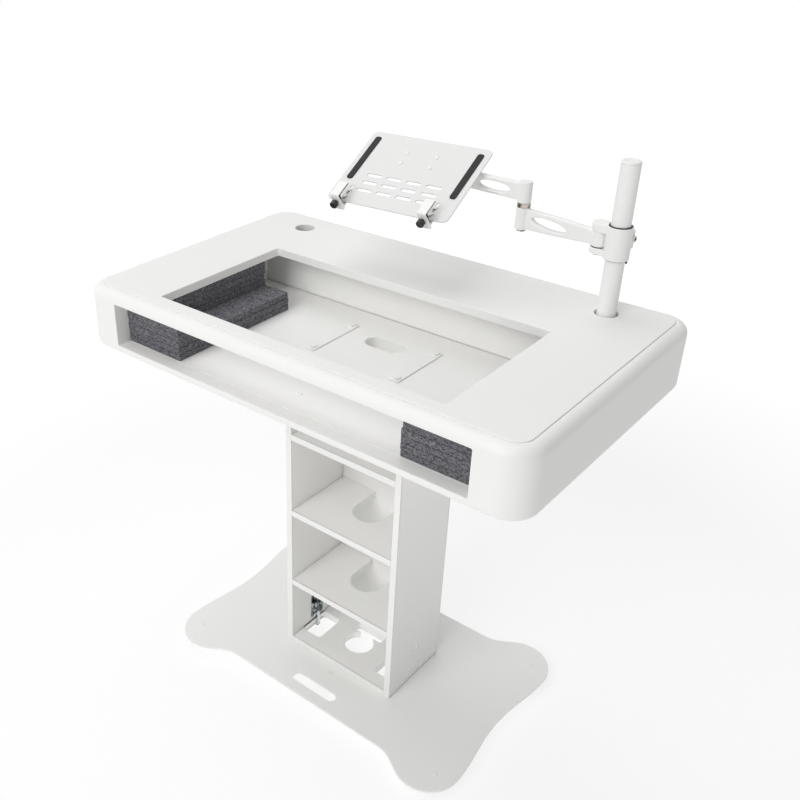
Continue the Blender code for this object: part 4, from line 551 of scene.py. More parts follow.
board("tower_side_left", "tower_left_side", "across_x")
board("tower_side_right", "tower_right_side", "across_x")
board("tower_back_panel", "tower_back", "across_y")
board("tower_bottom_board", "tower_bottom", "flat", holes=bottom_holes())
for level in ("lower", "middle", "upper"):
    board(f"tower_shelf_{level}", f"shelf_{level}", "flat", outline=notched_outline(f"tower_shelf_{level}"))
joint_holes = [circle(BOLT_HOLE, place, 24) for place in BOLT_PLACES]
joint_holes.append(round_ended(CABLE_HOLE, (0.0, CABLE_HOLE_Y), 10))
board("tower_top_board", "tower_top", "flat", holes=joint_holes)

# Cover caps: press-in white plastic caps over the screws that hold the bottom board.
# Three show along the foot of each side.
CAP_RADIUS = 0.0056
CAP_HEIGHT = 0.0016
CAP_SUNK = 0.0008
CAP_LEVEL = 0.010
CAP_PLACES = (0.030, 0.056, 0.083)
SIDES = (("left", -1), ("right", 1))
FACING_RIGHT = np.array([(0, 0, 1, 0), (0, 1, 0, 0), (-1, 0, 0, 0), (0, 0, 0, 1)], float)
FACING_LEFT = np.array([(0, 0, -1, 0), (0, 1, 0, 0), (1, 0, 0, 0), (0, 0, 0, 1)], float)


def domed_cap(radius, height, base, rim, crown, crown_round):
    """A cap's outline: up to a share of its height, in to a share of its radius, and flat across the top."""
    return soft_profile([(radius, base), (radius, rim * height), (crown * radius, height)],
                        [0.0002, 0.0006, crown_round])


def side_caps(name, profile, side_name, places):
    """Caps on the outer face of a tower side, at (y, z) places."""
    facing, end = (FACING_LEFT, 0) if side_name == "left" else (FACING_RIGHT, 1)
    face_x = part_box(f"tower_side_{side_name}")[end][0]
    caps = [shifted(moved(turned(profile, 32), facing), face_x, *place) for place in places]
    finished(f"{name}_{side_name}", merged(caps), white_lacquered_board, "podium")


cover_cap = domed_cap(CAP_RADIUS, CAP_HEIGHT, -CAP_SUNK, 0.6, 0.6, 0.002)
cap_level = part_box("tower_side_left")[0][2] + CAP_LEVEL
for side_name, _ in SIDES:
    side_caps("cover_caps", cover_cap, side_name, [(y, cap_level) for y in CAP_PLACES])

# Toggle latches: stamped steel, zinc plated, riveted to the inside of the tower's sides.
# A cam wing on each plate draws a hook up from under the foot plate. White caps hide the rivets' outer heads.
LATCH_NODES = ("latch_plate", "latch_wing", "latch_hook")
RIVET_SPAN = (0.026, 0.052)
RIVET_CAP_RADIUS = 0.0050
RIVET_CAP_HEIGHT = 0.0021


def plated(name, colour, shade, cloud, roughness, grain, stretch, depth):
    """Plated metal: clouds of two tones, the darker one a painted reflection, fine lines drawn out along one axis, and
    a polish that drifts slowly.
    """
    material, tree, surface, where = surfaced(name)
    drawn = add_node(tree, "ShaderNodeMapping", {"Vector": where, "Scale": stretch}).outputs[0]
    lines = add_node(tree, "ShaderNodeTexNoise", {"Vector": drawn, "Scale": 1 / grain, "Detail": 3.0})
    clouds = add_node(tree, "ShaderNodeTexNoise", {"Vector": where, "Scale": 1 / cloud, "Detail": 0.5})
    clouds = add_node(tree, "ShaderNodeMapRange", {0: clouds.outputs[0], 1: 0.42, 2: 0.56})
    # The darker tone mixed into the colour here is painted reflection.
    tint = add_node(tree, "ShaderNodeMix", {0: clouds.outputs[0], 6: linear_colour(shade), 7: linear_colour(colour)},
                    {"data_type": "RGBA"})
    polish = add_node(tree, "ShaderNodeTexNoise", {"Vector": where, "Scale": 120.0, "Detail": 2.0})
    gloss = add_node(tree, "ShaderNodeMapRange", {0: polish.outputs[0], 3: roughness - 0.06, 4: roughness + 0.10})
    bump = add_node(tree, "ShaderNodeBump", {"Height": lines.outputs[0], "Distance": depth, "Strength": 0.5})
    tree.links.new(tint.outputs[2], surface.inputs["Base Color"])
    surface.inputs["Metallic"].default_value = 1.0
    tree.links.new(gloss.outputs[0], surface.inputs["Roughness"])
    tree.links.new(bump.outputs[0], surface.inputs["Normal"])
    return material


def kept(node, material):
    """Gives a CAD piece that keeps its shape its finish, in each of its material slots."""
    piece = frame["nodes"][node]
    for place in piece.material_slots:
        place.link = "OBJECT"
        place.material = material


# Bright zinc plate under a clear blue film: pale blue-grey metal, with darker patches a centimetre wide painted into
# its colour as painted reflection.
bright_zinc = plated("bright_zinc_plated_steel", "CCD1D2", "646D71", 0.015, 0.24, 0.0005, (1.0, 1.0, 0.2), 0.00002)
rivet_cap = domed_cap(RIVET_CAP_RADIUS, RIVET_CAP_HEIGHT, 0.0, 0.5, 0.7, 0.0012)
for side_name, _ in SIDES:
    for latch_node in LATCH_NODES:
        kept(f"{latch_node}_{side_name}", bright_zinc)
    latch_y, latch_z = np.mean(np.array(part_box(f"latch_plate_{side_name}")), axis=0)[1:]
    side_caps("rivet_caps", rivet_cap, side_name, [
        (latch_y + sy * RIVET_SPAN[0] / 2, latch_z + sz * RIVET_SPAN[1] / 2) for sy in (-1, 1) for sz in (-1, 1)])

# Table straps: flat steel bars under the tower's top board, each with two bolts up into the table's floor.
# They are powder coated white like the foot plate.
for side_name, _ in SIDES:
    kept(f"table_strap_{side_name}", white_powder_coat)

# Table rim: 30 mm white lacquered board with a large radius along its top edge and a smaller one below.
# Its section runs round the rounded rectangle, and the storage slot is routed through the front.
TABLE_LENGTH = 1.032
TABLE_DEPTH = 0.632
TABLE_CORNER = 0.054
RIM_WALL = 0.030
RIM_TOP_ROUND = 0.020
RIM_BOTTOM_ROUND = 0.014
RIM_LEDGE = 0.9257
RIM_INNER_ROUNDS = (0.0004, 0.0008, 0.0008)
SEAM_INSET = 0.0235
SEAM_EDGE = 0.0010
SLOT_SIZE = (0.838, 0.092)
SLOT_CORNER = 0.003
SLOT_EDGE = 0.0010


def table_outline(step):
    """The table's rounded rectangle, moved inwards."""
    return rectangle((TABLE_LENGTH - 2 * step, TABLE_DEPTH - 2 * step), (0.0, 0.0), TABLE_CORNER - step, 24)


def slotted_rim(low, high, slot_level):
    """The rim's section carried round the outline, with the slot's tunnel let through the front.

    The front lies between the outline's first two corners, so its two flat faces are one quad each. They are
    left out, and filled again round the tunnel's two mouths.
    """
    section = filleted([(0.0, low), (0.0, high), (SEAM_INSET, high), (SEAM_INSET, RIM_LEDGE),
                        (RIM_WALL, RIM_LEDGE), (RIM_WALL, low)],
                       [RIM_BOTTOM_ROUND, RIM_TOP_ROUND, SEAM_EDGE, *RIM_INNER_ROUNDS], 10, margin=0.0004)
    rows = carried(table_outline(0.0), section)
    count, columns = rows.shape[:2]
    front = columns // 4 - 1
    rises = np.roll(section[:, 1], -1) - section[:, 1]
    mouth = rectangle(SLOT_SIZE, (0.0, slot_level + SLOT_SIZE[1] / 2), SLOT_CORNER, 5)
    edge_rows = rounded_rim(TABLE_DEPTH / 2 - RIM_WALL, TABLE_DEPTH / 2, SLOT_EDGE)[1:-1]
    tunnel = carried(mouth, edge_rows, -1.0)
    start = count * columns
    flat_rows = {int(rises.argmax()): len(tunnel) - 1, int(rises.argmin()): 0}
    faces = [face for number, face in enumerate(grid_faces(count, columns, closed_rows=True))
             if number % columns != front or number // columns not in flat_rows]
    faces += [quad[::-1] for quad in grid_faces(len(tunnel), len(mouth), start=start)]
    for row, end in flat_rows.items():
        numbers = np.array([row * columns + front, row * columns + front + 1,
                            (row + 1) * columns + front + 1, (row + 1) * columns + front])
        border = rows.reshape(-1, 3)[numbers][:, [0, 2]]
        mouth_numbers = start + end * len(mouth) + np.arange(len(mouth))
        faces += filled([border, tunnel[end, :, :2]], [numbers, mouth_numbers], end == 0)
    tunnel_points = moved((tunnel.reshape(-1, 3), []), ALONG)[0]
    return np.concatenate([rows.reshape(-1, 3), tunnel_points]), faces


rim_low, rim_high = (corner[2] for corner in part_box("table_rim"))
floor_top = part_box("table_floor")[1][2]
finished("table_rim_moulding", slotted_rim(rim_low, rim_high, floor_top), white_lacquered_board, "podium",
         ["table_rim"])

# Top panel: an 18 mm board let into the rim so that it stands 2 mm proud, with a fine shadow line round it.
# Its cut-out opens the bay from above, and the mast goes through either of the two round holes at the back.
PANEL_INSET = 0.0238
PANEL_EDGES = (0.0006, 0.0014)
CUTOUT = (0.668, 0.350)
CUTOUT_Y = -0.087
CUTOUT_CORNER = 0.004
MAST_HOLE_RADIUS = 0.0225
mast_low, mast_high = (np.array(corner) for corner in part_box("mast"))
mast_x, mast_y = (mast_low + mast_high)[:2] / 2
panel_low, panel_high = (corner[2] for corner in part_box("table_top_panel"))
panel_holes = [rectangle(CUTOUT, (0.0, CUTOUT_Y), CUTOUT_CORNER, 6)]
panel_holes += [circle(MAST_HOLE_RADIUS, (side * mast_x, mast_y), 72) for side in (-1, 1)]
panel_shape = slab(table_outline(PANEL_INSET), panel_holes, rounded_rim(panel_low, panel_high, *PANEL_EDGES))
finished("top_panel", panel_shape, white_lacquered_board, "podium", ["table_top_panel"])

# Bay: the table's floor and the boards that stand on it and carry the top panel.
# Four bolts, a cable hole and the screws of both mast sockets go through the floor, and one screw shows on it.
SOCKET_SCREW_CIRCLE = 0.034
SOCKET_SCREW_HOLE = 0.0026
FLOOR_SCREW_Y = -0.2306
socket_turns = np.radians([45.0, 135.0, 225.0, 315.0])
socket_screws = SOCKET_SCREW_CIRCLE * np.stack([np.cos(socket_turns), np.sin(socket_turns)], axis=1)
floor_holes = joint_holes + [circle(SOCKET_SCREW_HOLE, place + (side * mast_x, mast_y), 16)
                             for side in (-1, 1) for place in socket_screws]
board("table_floor", "bay_floor", "flat", floor_holes, table_outline(RIM_WALL + CLEARANCE))
board("table_bay_end_left", "bay_end_left", "across_x")
board("table_bay_end_right", "bay_end_right", "across_x")
board("table_bay_back", "bay_back", "across_y")
floor_screw = socket_screw(SCREW_HEAD_RADIUS, SCREW_HEAD_HEIGHT, floor_top)
finished("bay_floor_screw", shifted(floor_screw, 0.0, FLOOR_SCREW_Y), white_powder_coat, "podium")

# Foam stacks: seven knife-cut sheets of charcoal foam lie loose on each other at either end of the bay.
# The lower three are whole, and the upper four are cut away under the panel's cut-out. Their edges wander a little.
FOAM_X = (0.268, 0.418)
FOAM_Y = (-0.2835, 0.0465)
FOAM_NOTCH = (0.336, -0.264)
FOAM_SHEET = 0.0138
FOAM_SHEETS = 7
FOAM_WHOLE_SHEETS = 3
FOAM_CORNER = 0.002
FOAM_EDGE = 0.0013
FOAM_STEP = 0.003
FOAM_WANDER = 0.0005
FOAM_WAVES = 18
FOAM_SHIFT = 0.0012
FOAM_SHIFT_SHARES = (1.0, 0.4)
FOAM_PARTING = 0.0004
FOAM_SEED = 7


def flecked_foam():
    """Charcoal foam: clouds of two dark greys, pale flecks above a threshold, and open pores as the bump."""
    material, tree, surface, where = surfaced("charcoal_flecked_foam")
    flat = add_node(tree, "ShaderNodeMapping", {"Vector": where, "Scale": (0.5, 0.5, 1.0)}).outputs[0]
    clouds = add_node(tree, "ShaderNodeTexNoise", {"Vector": flat, "Scale": 1 / 0.0030, "Detail": 4.0})
    clouds = add_node(tree, "ShaderNodeMapRange", {0: clouds.outputs[0], 1: 0.35, 2: 0.65})
    specks = add_node(tree, "ShaderNodeTexNoise", {"Vector": where, "Scale": 1 / 0.0016, "Detail": 2.0})
    specks = add_node(tree, "ShaderNodeMapRange", {0: specks.outputs[0], 1: 0.58, 2: 0.72})
    ground = add_node(tree, "ShaderNodeMix", {0: clouds.outputs[0], 6: linear_colour("403F43"),
                                              7: linear_colour("77767C")}, {"data_type": "RGBA"})
    tint = add_node(tree, "ShaderNodeMix", {0: specks.outputs[0], 6: ground.outputs[2],
                                            7: linear_colour("B4B3B8")}, {"data_type": "RGBA"})
    pores = add_node(tree, "ShaderNodeTexNoise", {"Vector": where, "Scale": 1 / 0.0010, "Detail": 3.0})
    bump = add_node(tree, "ShaderNodeBump", {"Height": pores.outputs[0], "Distance": 0.0005, "Strength": 0.9})
    tree.links.new(tint.outputs[2], surface.inputs["Base Color"])
    tree.links.new(bump.outputs[0], surface.inputs["Normal"])
    surface.inputs["Roughness"].default_value = 0.92
    return material


def stepped(outline, step):
    """An outline with its edges cut into equal pieces no longer than the step."""
    ahead = np.roll(outline, -1, axis=0) - outline
    counts = np.ceil(np.linalg.norm(ahead, axis=1) / step).astype(int)
    edge = np.repeat(np.arange(len(outline)), counts)
    share = (np.arange(len(edge)) - np.repeat(np.cumsum(counts) - counts, counts)) / counts[edge]
    return outline[edge] + share[:, None] * ahead[edge]


def foam_sheet(outline, low, high, chance):
    """One sheet: rounded corners and edges, and a cut that wanders as smoothed chance steps along it."""
    loop = stepped(filleted(outline, FOAM_CORNER, 3), FOAM_STEP)
    wander = chance.normal(size=(len(loop), 2))
    blur = np.exp(-0.5 * (np.fft.fftfreq(len(loop)) * len(loop) / FOAM_WAVES) ** 2)
    wander = np.fft.ifft(np.fft.fft(wander, axis=0) * blur[:, None], axis=0).real
    shift = chance.uniform(-FOAM_SHIFT, FOAM_SHIFT, 2) * FOAM_SHIFT_SHARES
    loop = loop + FOAM_WANDER * wander / np.abs(wander).max() + shift
    return slab(loop, [], rounded_rim(low, high, FOAM_EDGE, border=0.0010))


charcoal_foam = flecked_foam()
chance = np.random.default_rng(FOAM_SEED)
for side_name, side in SIDES:
    whole = np.array([(FOAM_X[0], FOAM_Y[0]), (FOAM_X[1], FOAM_Y[0]), (FOAM_X[1], FOAM_Y[1]), (FOAM_X[0], FOAM_Y[1])])
    cut = np.array([*whole[:3], (FOAM_NOTCH[0], FOAM_Y[1]), FOAM_NOTCH, (FOAM_X[0], FOAM_NOTCH[1])])
    if side < 0:
        whole, cut = whole[::-1] * (-1, 1), cut[::-1] * (-1, 1)
    foam_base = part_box(f"foam_stack_{side_name}")[0][2]
    sheets = []
    for number in range(FOAM_SHEETS):
        sheet_low = foam_base + number * FOAM_SHEET
        sheet_outline = whole if number < FOAM_WHOLE_SHEETS else cut
        sheets.append(foam_sheet(sheet_outline, sheet_low, sheet_low + FOAM_SHEET - FOAM_PARTING, chance))
    stack = finished(f"foam_sheets_{side_name}", merged(sheets), charcoal_foam, "podium",
                     [f"foam_stack_{side_name}"])

# Mast: a white powder-coated steel tube that stands in a flanged socket on the bay's floor.
# A plastic cap closes its top, and a second socket waits under the left-hand hole.
MAST_RADIUS = 0.018
MAST_WALL = 0.0025
CAP_PLUG = 0.012
CAP_DISH = (0.62, 0.56, 0.0008)
SOCKET_PROFILE = [(0.045, 0.0), (0.045, 0.004), (0.0213, 0.004), (0.0213, 0.060), (0.0183, 0.060), (0.0183, 0.0)]
SOCKET_SCREW_HEAD = (0.0044, 0.0022, 0.0037)


def tube(outer, inner, low, high, edge):
    """A ring turned about Z, with its edges broken."""
    return turned(filleted([(outer, low), (outer, high), (inner, high), (inner, low)], edge, 3), 72)


# Smooth satin powder coat of the mast and the arm: a closer, shinier film than the foot plate's.
white_satin_coat = painted("white_satin_coat_on_metal", "F9F9F8", "F7F7F5", 0.34, 0.0012, 0.00002, 0.2)
finished("mast_tube", shifted(tube(MAST_RADIUS, MAST_RADIUS - MAST_WALL, mast_low[2], mast_high[2], 0.0004),
                              mast_x, mast_y), white_satin_coat, "podium", ["mast"])
cap_base, cap_top = (corner[2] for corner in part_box("mast_cap"))
cap_seat, cap_floor = cap_base + CAP_PLUG, cap_top - CAP_DISH[2]
plug = MAST_RADIUS - MAST_WALL - CLEARANCE
mast_cap = soft_profile([(plug, cap_base), (plug, cap_seat), (MAST_RADIUS, cap_seat), (MAST_RADIUS, cap_top),
                         (CAP_DISH[0] * MAST_RADIUS, cap_top), (CAP_DISH[1] * MAST_RADIUS, cap_floor)],
                        [0.0005, 0.0, 0.0002, 0.0020, 0.0006, 0.0006])
finished("mast_end_cap", shifted(turned(mast_cap, 72), mast_x, mast_y), white_satin_coat, "podium",
         ["mast_cap"])
for side_name, side in SIDES:
    parts = [turned(filleted(SOCKET_PROFILE, 0.0006, 3))]
    parts += [shifted(socket_screw(*SOCKET_SCREW_HEAD), *place) for place in socket_screws]
    finished(f"mast_base_{side_name}", shifted(merged(parts), side * mast_x, mast_y, mast_low[2]), white_powder_coat,
             "podium", [f"mast_socket_{side_name}"])

# Bush and clamp collar: a black nylon bush slides on the mast inside a white die-cast collar.
# The collar is split at the back, and its two ears hold the lower arm.
COLLAR_YAW = 173.0
COLLAR_RADIUS = 0.0236
COLLAR_BORE = 0.0210
COLLAR_HEIGHT = 0.062
BUSH_RADII = (0.0207, 0.0183)
BUSH_PROUD = 0.0015
SLIT_HALF = 0.0053
LUG_SIZE = (0.007, 0.037)
LUG_ROOTS = (0.0214, 0.0188)
LUG_LEVELS = (0.014, 0.048)
EAR_RADIUS = 0.0165
EAR_REACH = 0.0382
EAR_ROOT_STEP = 0.0002
EAR_LEVELS = ((0.0016, 0.0128), (0.0445, 0.060))


def standing(place, yaw):
    """The matrix of a turn about Z by an angle in degrees and a move to a place."""
    return Matrix.Translation(place) @ Matrix.Rotation(math.radians(yaw), 4, "Z")


def placed(shape, place, yaw):
    """A shape turned about Z by an angle in degrees and moved to a place."""
    return moved(shape, standing(place, yaw))


def collar_ring():
    """A ring with a slit at -Y: an outer and an inner arc joined by two short edges."""
    outer = math.degrees(math.asin(SLIT_HALF / COLLAR_RADIUS))
    inner = math.degrees(math.asin(SLIT_HALF / COLLAR_BORE))
    loop = np.concatenate([arc((0.0, 0.0), COLLAR_RADIUS, outer - 90, 270 - outer, 96),
                           arc((0.0, 0.0), COLLAR_BORE, 270 - inner, inner - 90, 96)])
    return slab(loop, [], rounded_rim(0.0, COLLAR_HEIGHT, 0.0008, border=0.0002))


def ear_outline():
    """Round the pin, and back along an arc that lies inside the ring's wall."""
    root = COLLAR_BORE + EAR_ROOT_STEP
    half = math.degrees(math.asin(EAR_RADIUS / root))
    return np.concatenate([arc((EAR_REACH, 0.0), EAR_RADIUS, -90, 90, 40), arc((0.0, 0.0), root, half, -half, 30)])


def lug_outline(side):
    """A rectangle whose inner end lies inside the ring's wall."""
    near, far = SLIT_HALF, SLIT_HALF + LUG_SIZE[0]
    corners = np.array([(near, -LUG_SIZE[1]), (far, -LUG_SIZE[1]), (far, -LUG_ROOTS[1]), (near, -LUG_ROOTS[0])])
    loop = filleted(corners, [0.001, 0.004, 0.0, 0.0], 6)
    return loop if side > 0 else loop[::-1] * (-1, 1)


# Black nylon: moulded, a little glossier than rubber, with a faint grain.
black_nylon = moulded("black_nylon", "121213", 0.42, 0.0009, 0.00002)
collar_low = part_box("collar")[0][2]
collar_place = (mast_x, mast_y, collar_low)
bush = tube(*BUSH_RADII, -BUSH_PROUD, COLLAR_HEIGHT + BUSH_PROUD, 0.0006)
finished("mast_slide_bush", placed(bush, collar_place, 0.0), black_nylon, "mast_bush", ["mast_bush"])
collar_parts = [collar_ring()]
collar_parts += [slab(ear_outline(), [], rounded_rim(*levels, 0.0016, border=0.0002)) for levels in EAR_LEVELS]
collar_parts += [slab(lug_outline(side), [], rounded_rim(*LUG_LEVELS, 0.0012, border=0.0002)) for side in (-1, 1)]
finished("clamp_collar", placed(merged(collar_parts), collar_place, COLLAR_YAW), white_satin_coat, "collar",
         ["collar"])

# Clamp bolt and lever: a white-headed bolt with a hexagon socket draws the lugs together, and a black disc down in the
# socket is painted shade.
# The black lever between them hangs down beside the mast.
BOLT_REACH = 0.029
BOLT_LEVEL = 0.033
BOLT_HEAD = (0.0065, 0.0045)
BOLT_RADIUS = 0.003
BOLT_SOCKET = 0.0034
BOLT_SOCKET_DEPTH = 0.003
# Painted shade in the bolt's socket: the black disc's gap to the socket wall, and how far its bottom and top lie below
# the head's top.
BOLT_SOCKET_SHADE = (0.0002, 0.0029, 0.0006)
LEVER_HUB = 0.0068
LEVER_WAIST = (-0.0042, 0.0012, -0.012)
LEVER_TIP = (-0.006, -0.050)
LEVER_TIP_RADIUS = 0.003
LEVER_HALF = 0.005
LEVER_EDGE = 0.0010
bolt_seat = SLIT_HALF + LUG_SIZE[0] + CLEARANCE
bolt_end = bolt_seat + BOLT_HEAD[1]
bolt_floor = bolt_end - BOLT_SOCKET_DEPTH
bolt_profile = soft_profile([(BOLT_HEAD[0], -bolt_end), (BOLT_HEAD[0], -bolt_seat), (BOLT_RADIUS, -bolt_seat),
                             (BOLT_RADIUS, bolt_seat), (BOLT_HEAD[0], bolt_seat), (BOLT_HEAD[0], bolt_end),
                             (BOLT_SOCKET, bolt_end), (BOLT_SOCKET, bolt_floor)],
                            [0.0014, 0.0003, 0.0, 0.0, 0.0003, 0.0012, 0.0003, 0.0002])
bolt_turn = standing(collar_place, COLLAR_YAW) @ Matrix.Translation((0.0, -BOLT_REACH, BOLT_LEVEL))
along_x = Matrix(FACING_LEFT.tolist())
finished("clamp_screw", moved(turned(bolt_profile, 48), bolt_turn @ along_x), white_satin_coat, "collar",
         ["clamp_bolt"])
# A black nylon disc fills the bolt's socket as painted shade, standing in for the shade deep in the hollow.
socket_shade_radius = BOLT_SOCKET - BOLT_SOCKET_SHADE[0]
socket_shade_disc = turned(soft_profile([(socket_shade_radius, bolt_end - sunk) for sunk in BOLT_SOCKET_SHADE[1:]], [0.0, 0.0]), 32)
finished("clamp_screw_plug", moved(socket_shade_disc, bolt_turn @ along_x), black_nylon, "collar")
lever_outline = np.concatenate([
    arc((0.0, 0.0), LEVER_HUB, -35.0, 215.0, 32), [(LEVER_WAIST[0], LEVER_WAIST[2])],
    arc(LEVER_TIP, LEVER_TIP_RADIUS, 180.0, 360.0, 12), [(LEVER_WAIST[1], LEVER_WAIST[2])]])
lever_shape = slab(lever_outline, [circle(BOLT_RADIUS + CLEARANCE, (0.0, 0.0), 32)],
                   rounded_rim(-LEVER_HALF, LEVER_HALF, LEVER_EDGE, border=0.0003))
finished("clamp_handle", moved(moved(lever_shape, ACROSS), bolt_turn), black_nylon, "clamp_lever",
         ["clamp_lever"])

# Arm links: cast aluminium, coated white. Each is a deep web on edge with an oval window between two barrels.
# The lower one turns between the collar's ears, and the upper one stands on it over a bright ring.
BARREL_RADIUS = 0.0138
UPPER_BARREL_STEP = 0.0005
BARREL_ROUND = 0.0022
BARREL_ROOF = 0.004
PIN_BORE = 0.0053
LINK_HALF = 0.007
LINK_ROUND = 0.004
LINK_START = 0.0065
LINK_BULGE = 0.0012
WINDOW = (0.075, 0.0176)
LOWER_YAW = 176.3
LOWER_LENGTH = 0.1665
LOWER_WEB = ((0.0024, 0.0304), (-0.0050, 0.0370))
LOWER_WINDOW = (LOWER_LENGTH - 0.0615, 5.0)
UPPER_YAW = 175.6
UPPER_LENGTH = 0.236
UPPER_WEB = ((0.0030, 0.0380), (0.0030, 0.0320))
UPPER_WINDOW = (0.070, -1.0)
SHOULDER_LEVELS = (0.0016, 0.0314)
ELBOW_LEVELS = (-0.0058, 0.0382)
UPPER_LEVELS = (0.0, 0.042)
WASHER_STEP = 0.0002
WASHER_LEVELS = (0.0003, 0.0013)
joints = {joint["name"]: joint for joint in frame["joints"]}
arm_level = collar_low + EAR_LEVELS[0][1]


def link(length, start, end, window_x, slope):
    """A web between two (low, high) pairs, a little deeper in the middle, with an oval window cut through it."""
    share = np.linspace(0.0, 1.0, 41)
    along = LINK_START + share * (length - 2 * LINK_START)
    bulge = LINK_BULGE * np.sin(math.pi * share)
    low = start[0] + (end[0] - start[0]) * share - bulge
    high = start[1] + (end[1] - start[1]) * share + bulge
    outline = np.concatenate([np.column_stack([along, low]), np.column_stack([along, high])[::-1]])
    turns = np.linspace(0.0, 2 * math.pi, 72, endpoint=False)
    u, v = WINDOW[0] / 2 * np.cos(turns), WINDOW[1] / 2 * np.sin(turns)
    slope = math.radians(slope)
    window = np.column_stack([window_x + u * math.cos(slope) - v * math.sin(slope),
                              (low.mean() + high.mean()) / 2 + u * math.sin(slope) + v * math.cos(slope)])
    rim = rounded_rim(-LINK_HALF, LINK_HALF, LINK_ROUND, steps=7, border=0.0008)
    return moved(slab(outline, [window], rim), ALONG)


def barrel(radius, low, high, edge):
    """A barrel with the pin's bore right through it."""
    return turned(filleted([(radius, low), (radius, high), (PIN_BORE, high), (PIN_BORE, low)],
                           [edge, edge, 0.0004, 0.0004], 6), 72)


def blind_barrel(radius, low, high, edge):
    """A barrel whose bore stops below its top."""
    roof = high - BARREL_ROOF
    profile = [(PIN_BORE, roof), (PIN_BORE, low), (radius, low), (radius, high)]
    return turned(soft_profile(profile, [0.0, 0.0004, edge, edge], 6), 72)


shoulder_place = (*joints["shoulder"]["pos_m"][:2], arm_level)
lower_link = [link(LOWER_LENGTH, *LOWER_WEB, *LOWER_WINDOW), barrel(BARREL_RADIUS, *SHOULDER_LEVELS, 0.0012),
              shifted(barrel(BARREL_RADIUS, *ELBOW_LEVELS, BARREL_ROUND), LOWER_LENGTH)]
finished("lower_link", placed(merged(lower_link), shoulder_place, LOWER_YAW), white_satin_coat, "lower_arm",
         ["lower_arm"])
washer = tube(BARREL_RADIUS - WASHER_STEP, PIN_BORE, *WASHER_LEVELS, 0.0002)
finished("shoulder_thrust_washer", placed(washer, shoulder_place, 0.0), black_nylon, "lower_arm",
         ["shoulder_washer"])
elbow_x, elbow_y = joints["elbow"]["pos_m"][:2]
upper_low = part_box("upper_arm")[0][2]
upper_barrel = (BARREL_RADIUS - UPPER_BARREL_STEP, *UPPER_LEVELS, BARREL_ROUND)
upper_link = [link(UPPER_LENGTH, *UPPER_WEB, *UPPER_WINDOW), blind_barrel(*upper_barrel),
              shifted(barrel(*upper_barrel), UPPER_LENGTH)]
finished("upper_link", placed(merged(upper_link), (elbow_x, elbow_y, upper_low), UPPER_YAW), white_satin_coat,
         "upper_arm", ["upper_arm"])

# Pins and the elbow ring: turned steel. The ring is nickel plated and the pins are zinc plated.
# The wrist head, the tray's bracket and the clamps' feet are coated like the links.
RING_RADIUS = 0.0132
ring_low, ring_high = (corner[2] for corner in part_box("elbow_ring"))
# Bright nickel: a warm mirror with turning lines round it and a few darker patches painted into its colour as painted
# reflection.
bright_nickel = plated("bright_nickel_plated_steel", "D3CDC4", "857C72", 0.014, 0.14, 0.0003, (0.1, 0.1, 1.0), 0.00001)
elbow_ring = tube(RING_RADIUS, PIN_BORE, ring_low, ring_high, 0.0005)
finished("elbow_spacer", placed(elbow_ring, (elbow_x, elbow_y, 0.0), 0.0), bright_nickel, "upper_arm",
         ["elbow_ring"])
for pin_node in ("shoulder_pin", "elbow_pin", "wrist_nut", "tilt_pin"):
    kept(pin_node, bright_zinc)
for arm_node in ("wrist_head", "tray_bracket", "clamp_foot_left", "clamp_foot_right"):
    kept(arm_node, white_satin_coat)

# Tray: 3 mm laser-cut steel, coated white, with rows of vents and two slots for the clamps' guides.
# Two black rubber strips are glued on it.
TRAY_YAW = 4.18
TRAY_TILT = 27.7
TRAY_X = 0.140
TRAY_Y = (-0.190, 0.020)
TRAY_LEVELS = (0.009, 0.012)
TRAY_CORNER = 0.014
TRAY_EDGE = 0.0007
VENT_SIZE = (0.034, 0.008)
VENT_PITCH = (0.046, 0.022)
VENT_FRONT = -0.150
GUIDE_SLOT = (0.0056, 0.0436)
GUIDE_Y = -0.1655
CLAMP_X = 0.100
PAD_SIZE = (0.014, 0.130)
PAD_CORNER = 0.005
PAD_PLACE = (0.120, -0.062)
PAD_LEVELS = (0.0123, 0.0140)
PAD_EDGES = (0.0001, 0.0006)
tray_turn = standing(joints["tray_tilt"]["pos_m"], TRAY_YAW) @ Matrix.Rotation(math.radians(TRAY_TILT), 4, "X")
tray_holes = [round_ended(VENT_SIZE, ((column - 1.5) * VENT_PITCH[0], VENT_FRONT + row * VENT_PITCH[1]), 8)
              for column in range(4) for row in range(3)]
tray_holes += [round_ended(GUIDE_SLOT, (side * CLAMP_X, GUIDE_Y), 8) for side in (-1, 1)]
# The tray's coat is the arm's, made a shade greyer as painted shade, so that the sheet stands off a white ground.
tray_coat_with_painted_shade = painted("grey_white_coat_on_tray", "E9E9E8", "E6E6E5", 0.40, 0.0012, 0.00002, 0.2)
tray_outline = rectangle((2 * TRAY_X, TRAY_Y[1] - TRAY_Y[0]), (0.0, sum(TRAY_Y) / 2), TRAY_CORNER, 12)
tray_shape = slab(tray_outline, tray_holes, rounded_rim(*TRAY_LEVELS, TRAY_EDGE, border=0.0004))
finished("tray_sheet", moved(tray_shape, tray_turn), tray_coat_with_painted_shade, "tray", ["tray_plate"])
for side_name, side in SIDES:
    pad = slab(rectangle(PAD_SIZE, (side * PAD_PLACE[0], PAD_PLACE[1]), PAD_CORNER, 6), [],
               rounded_rim(*PAD_LEVELS, *PAD_EDGES, border=0.0006))
    finished(f"rubber_strip_{side_name}", moved(pad, tray_turn), black_rubber, "tray",
             [f"tray_pad_{side_name}"])

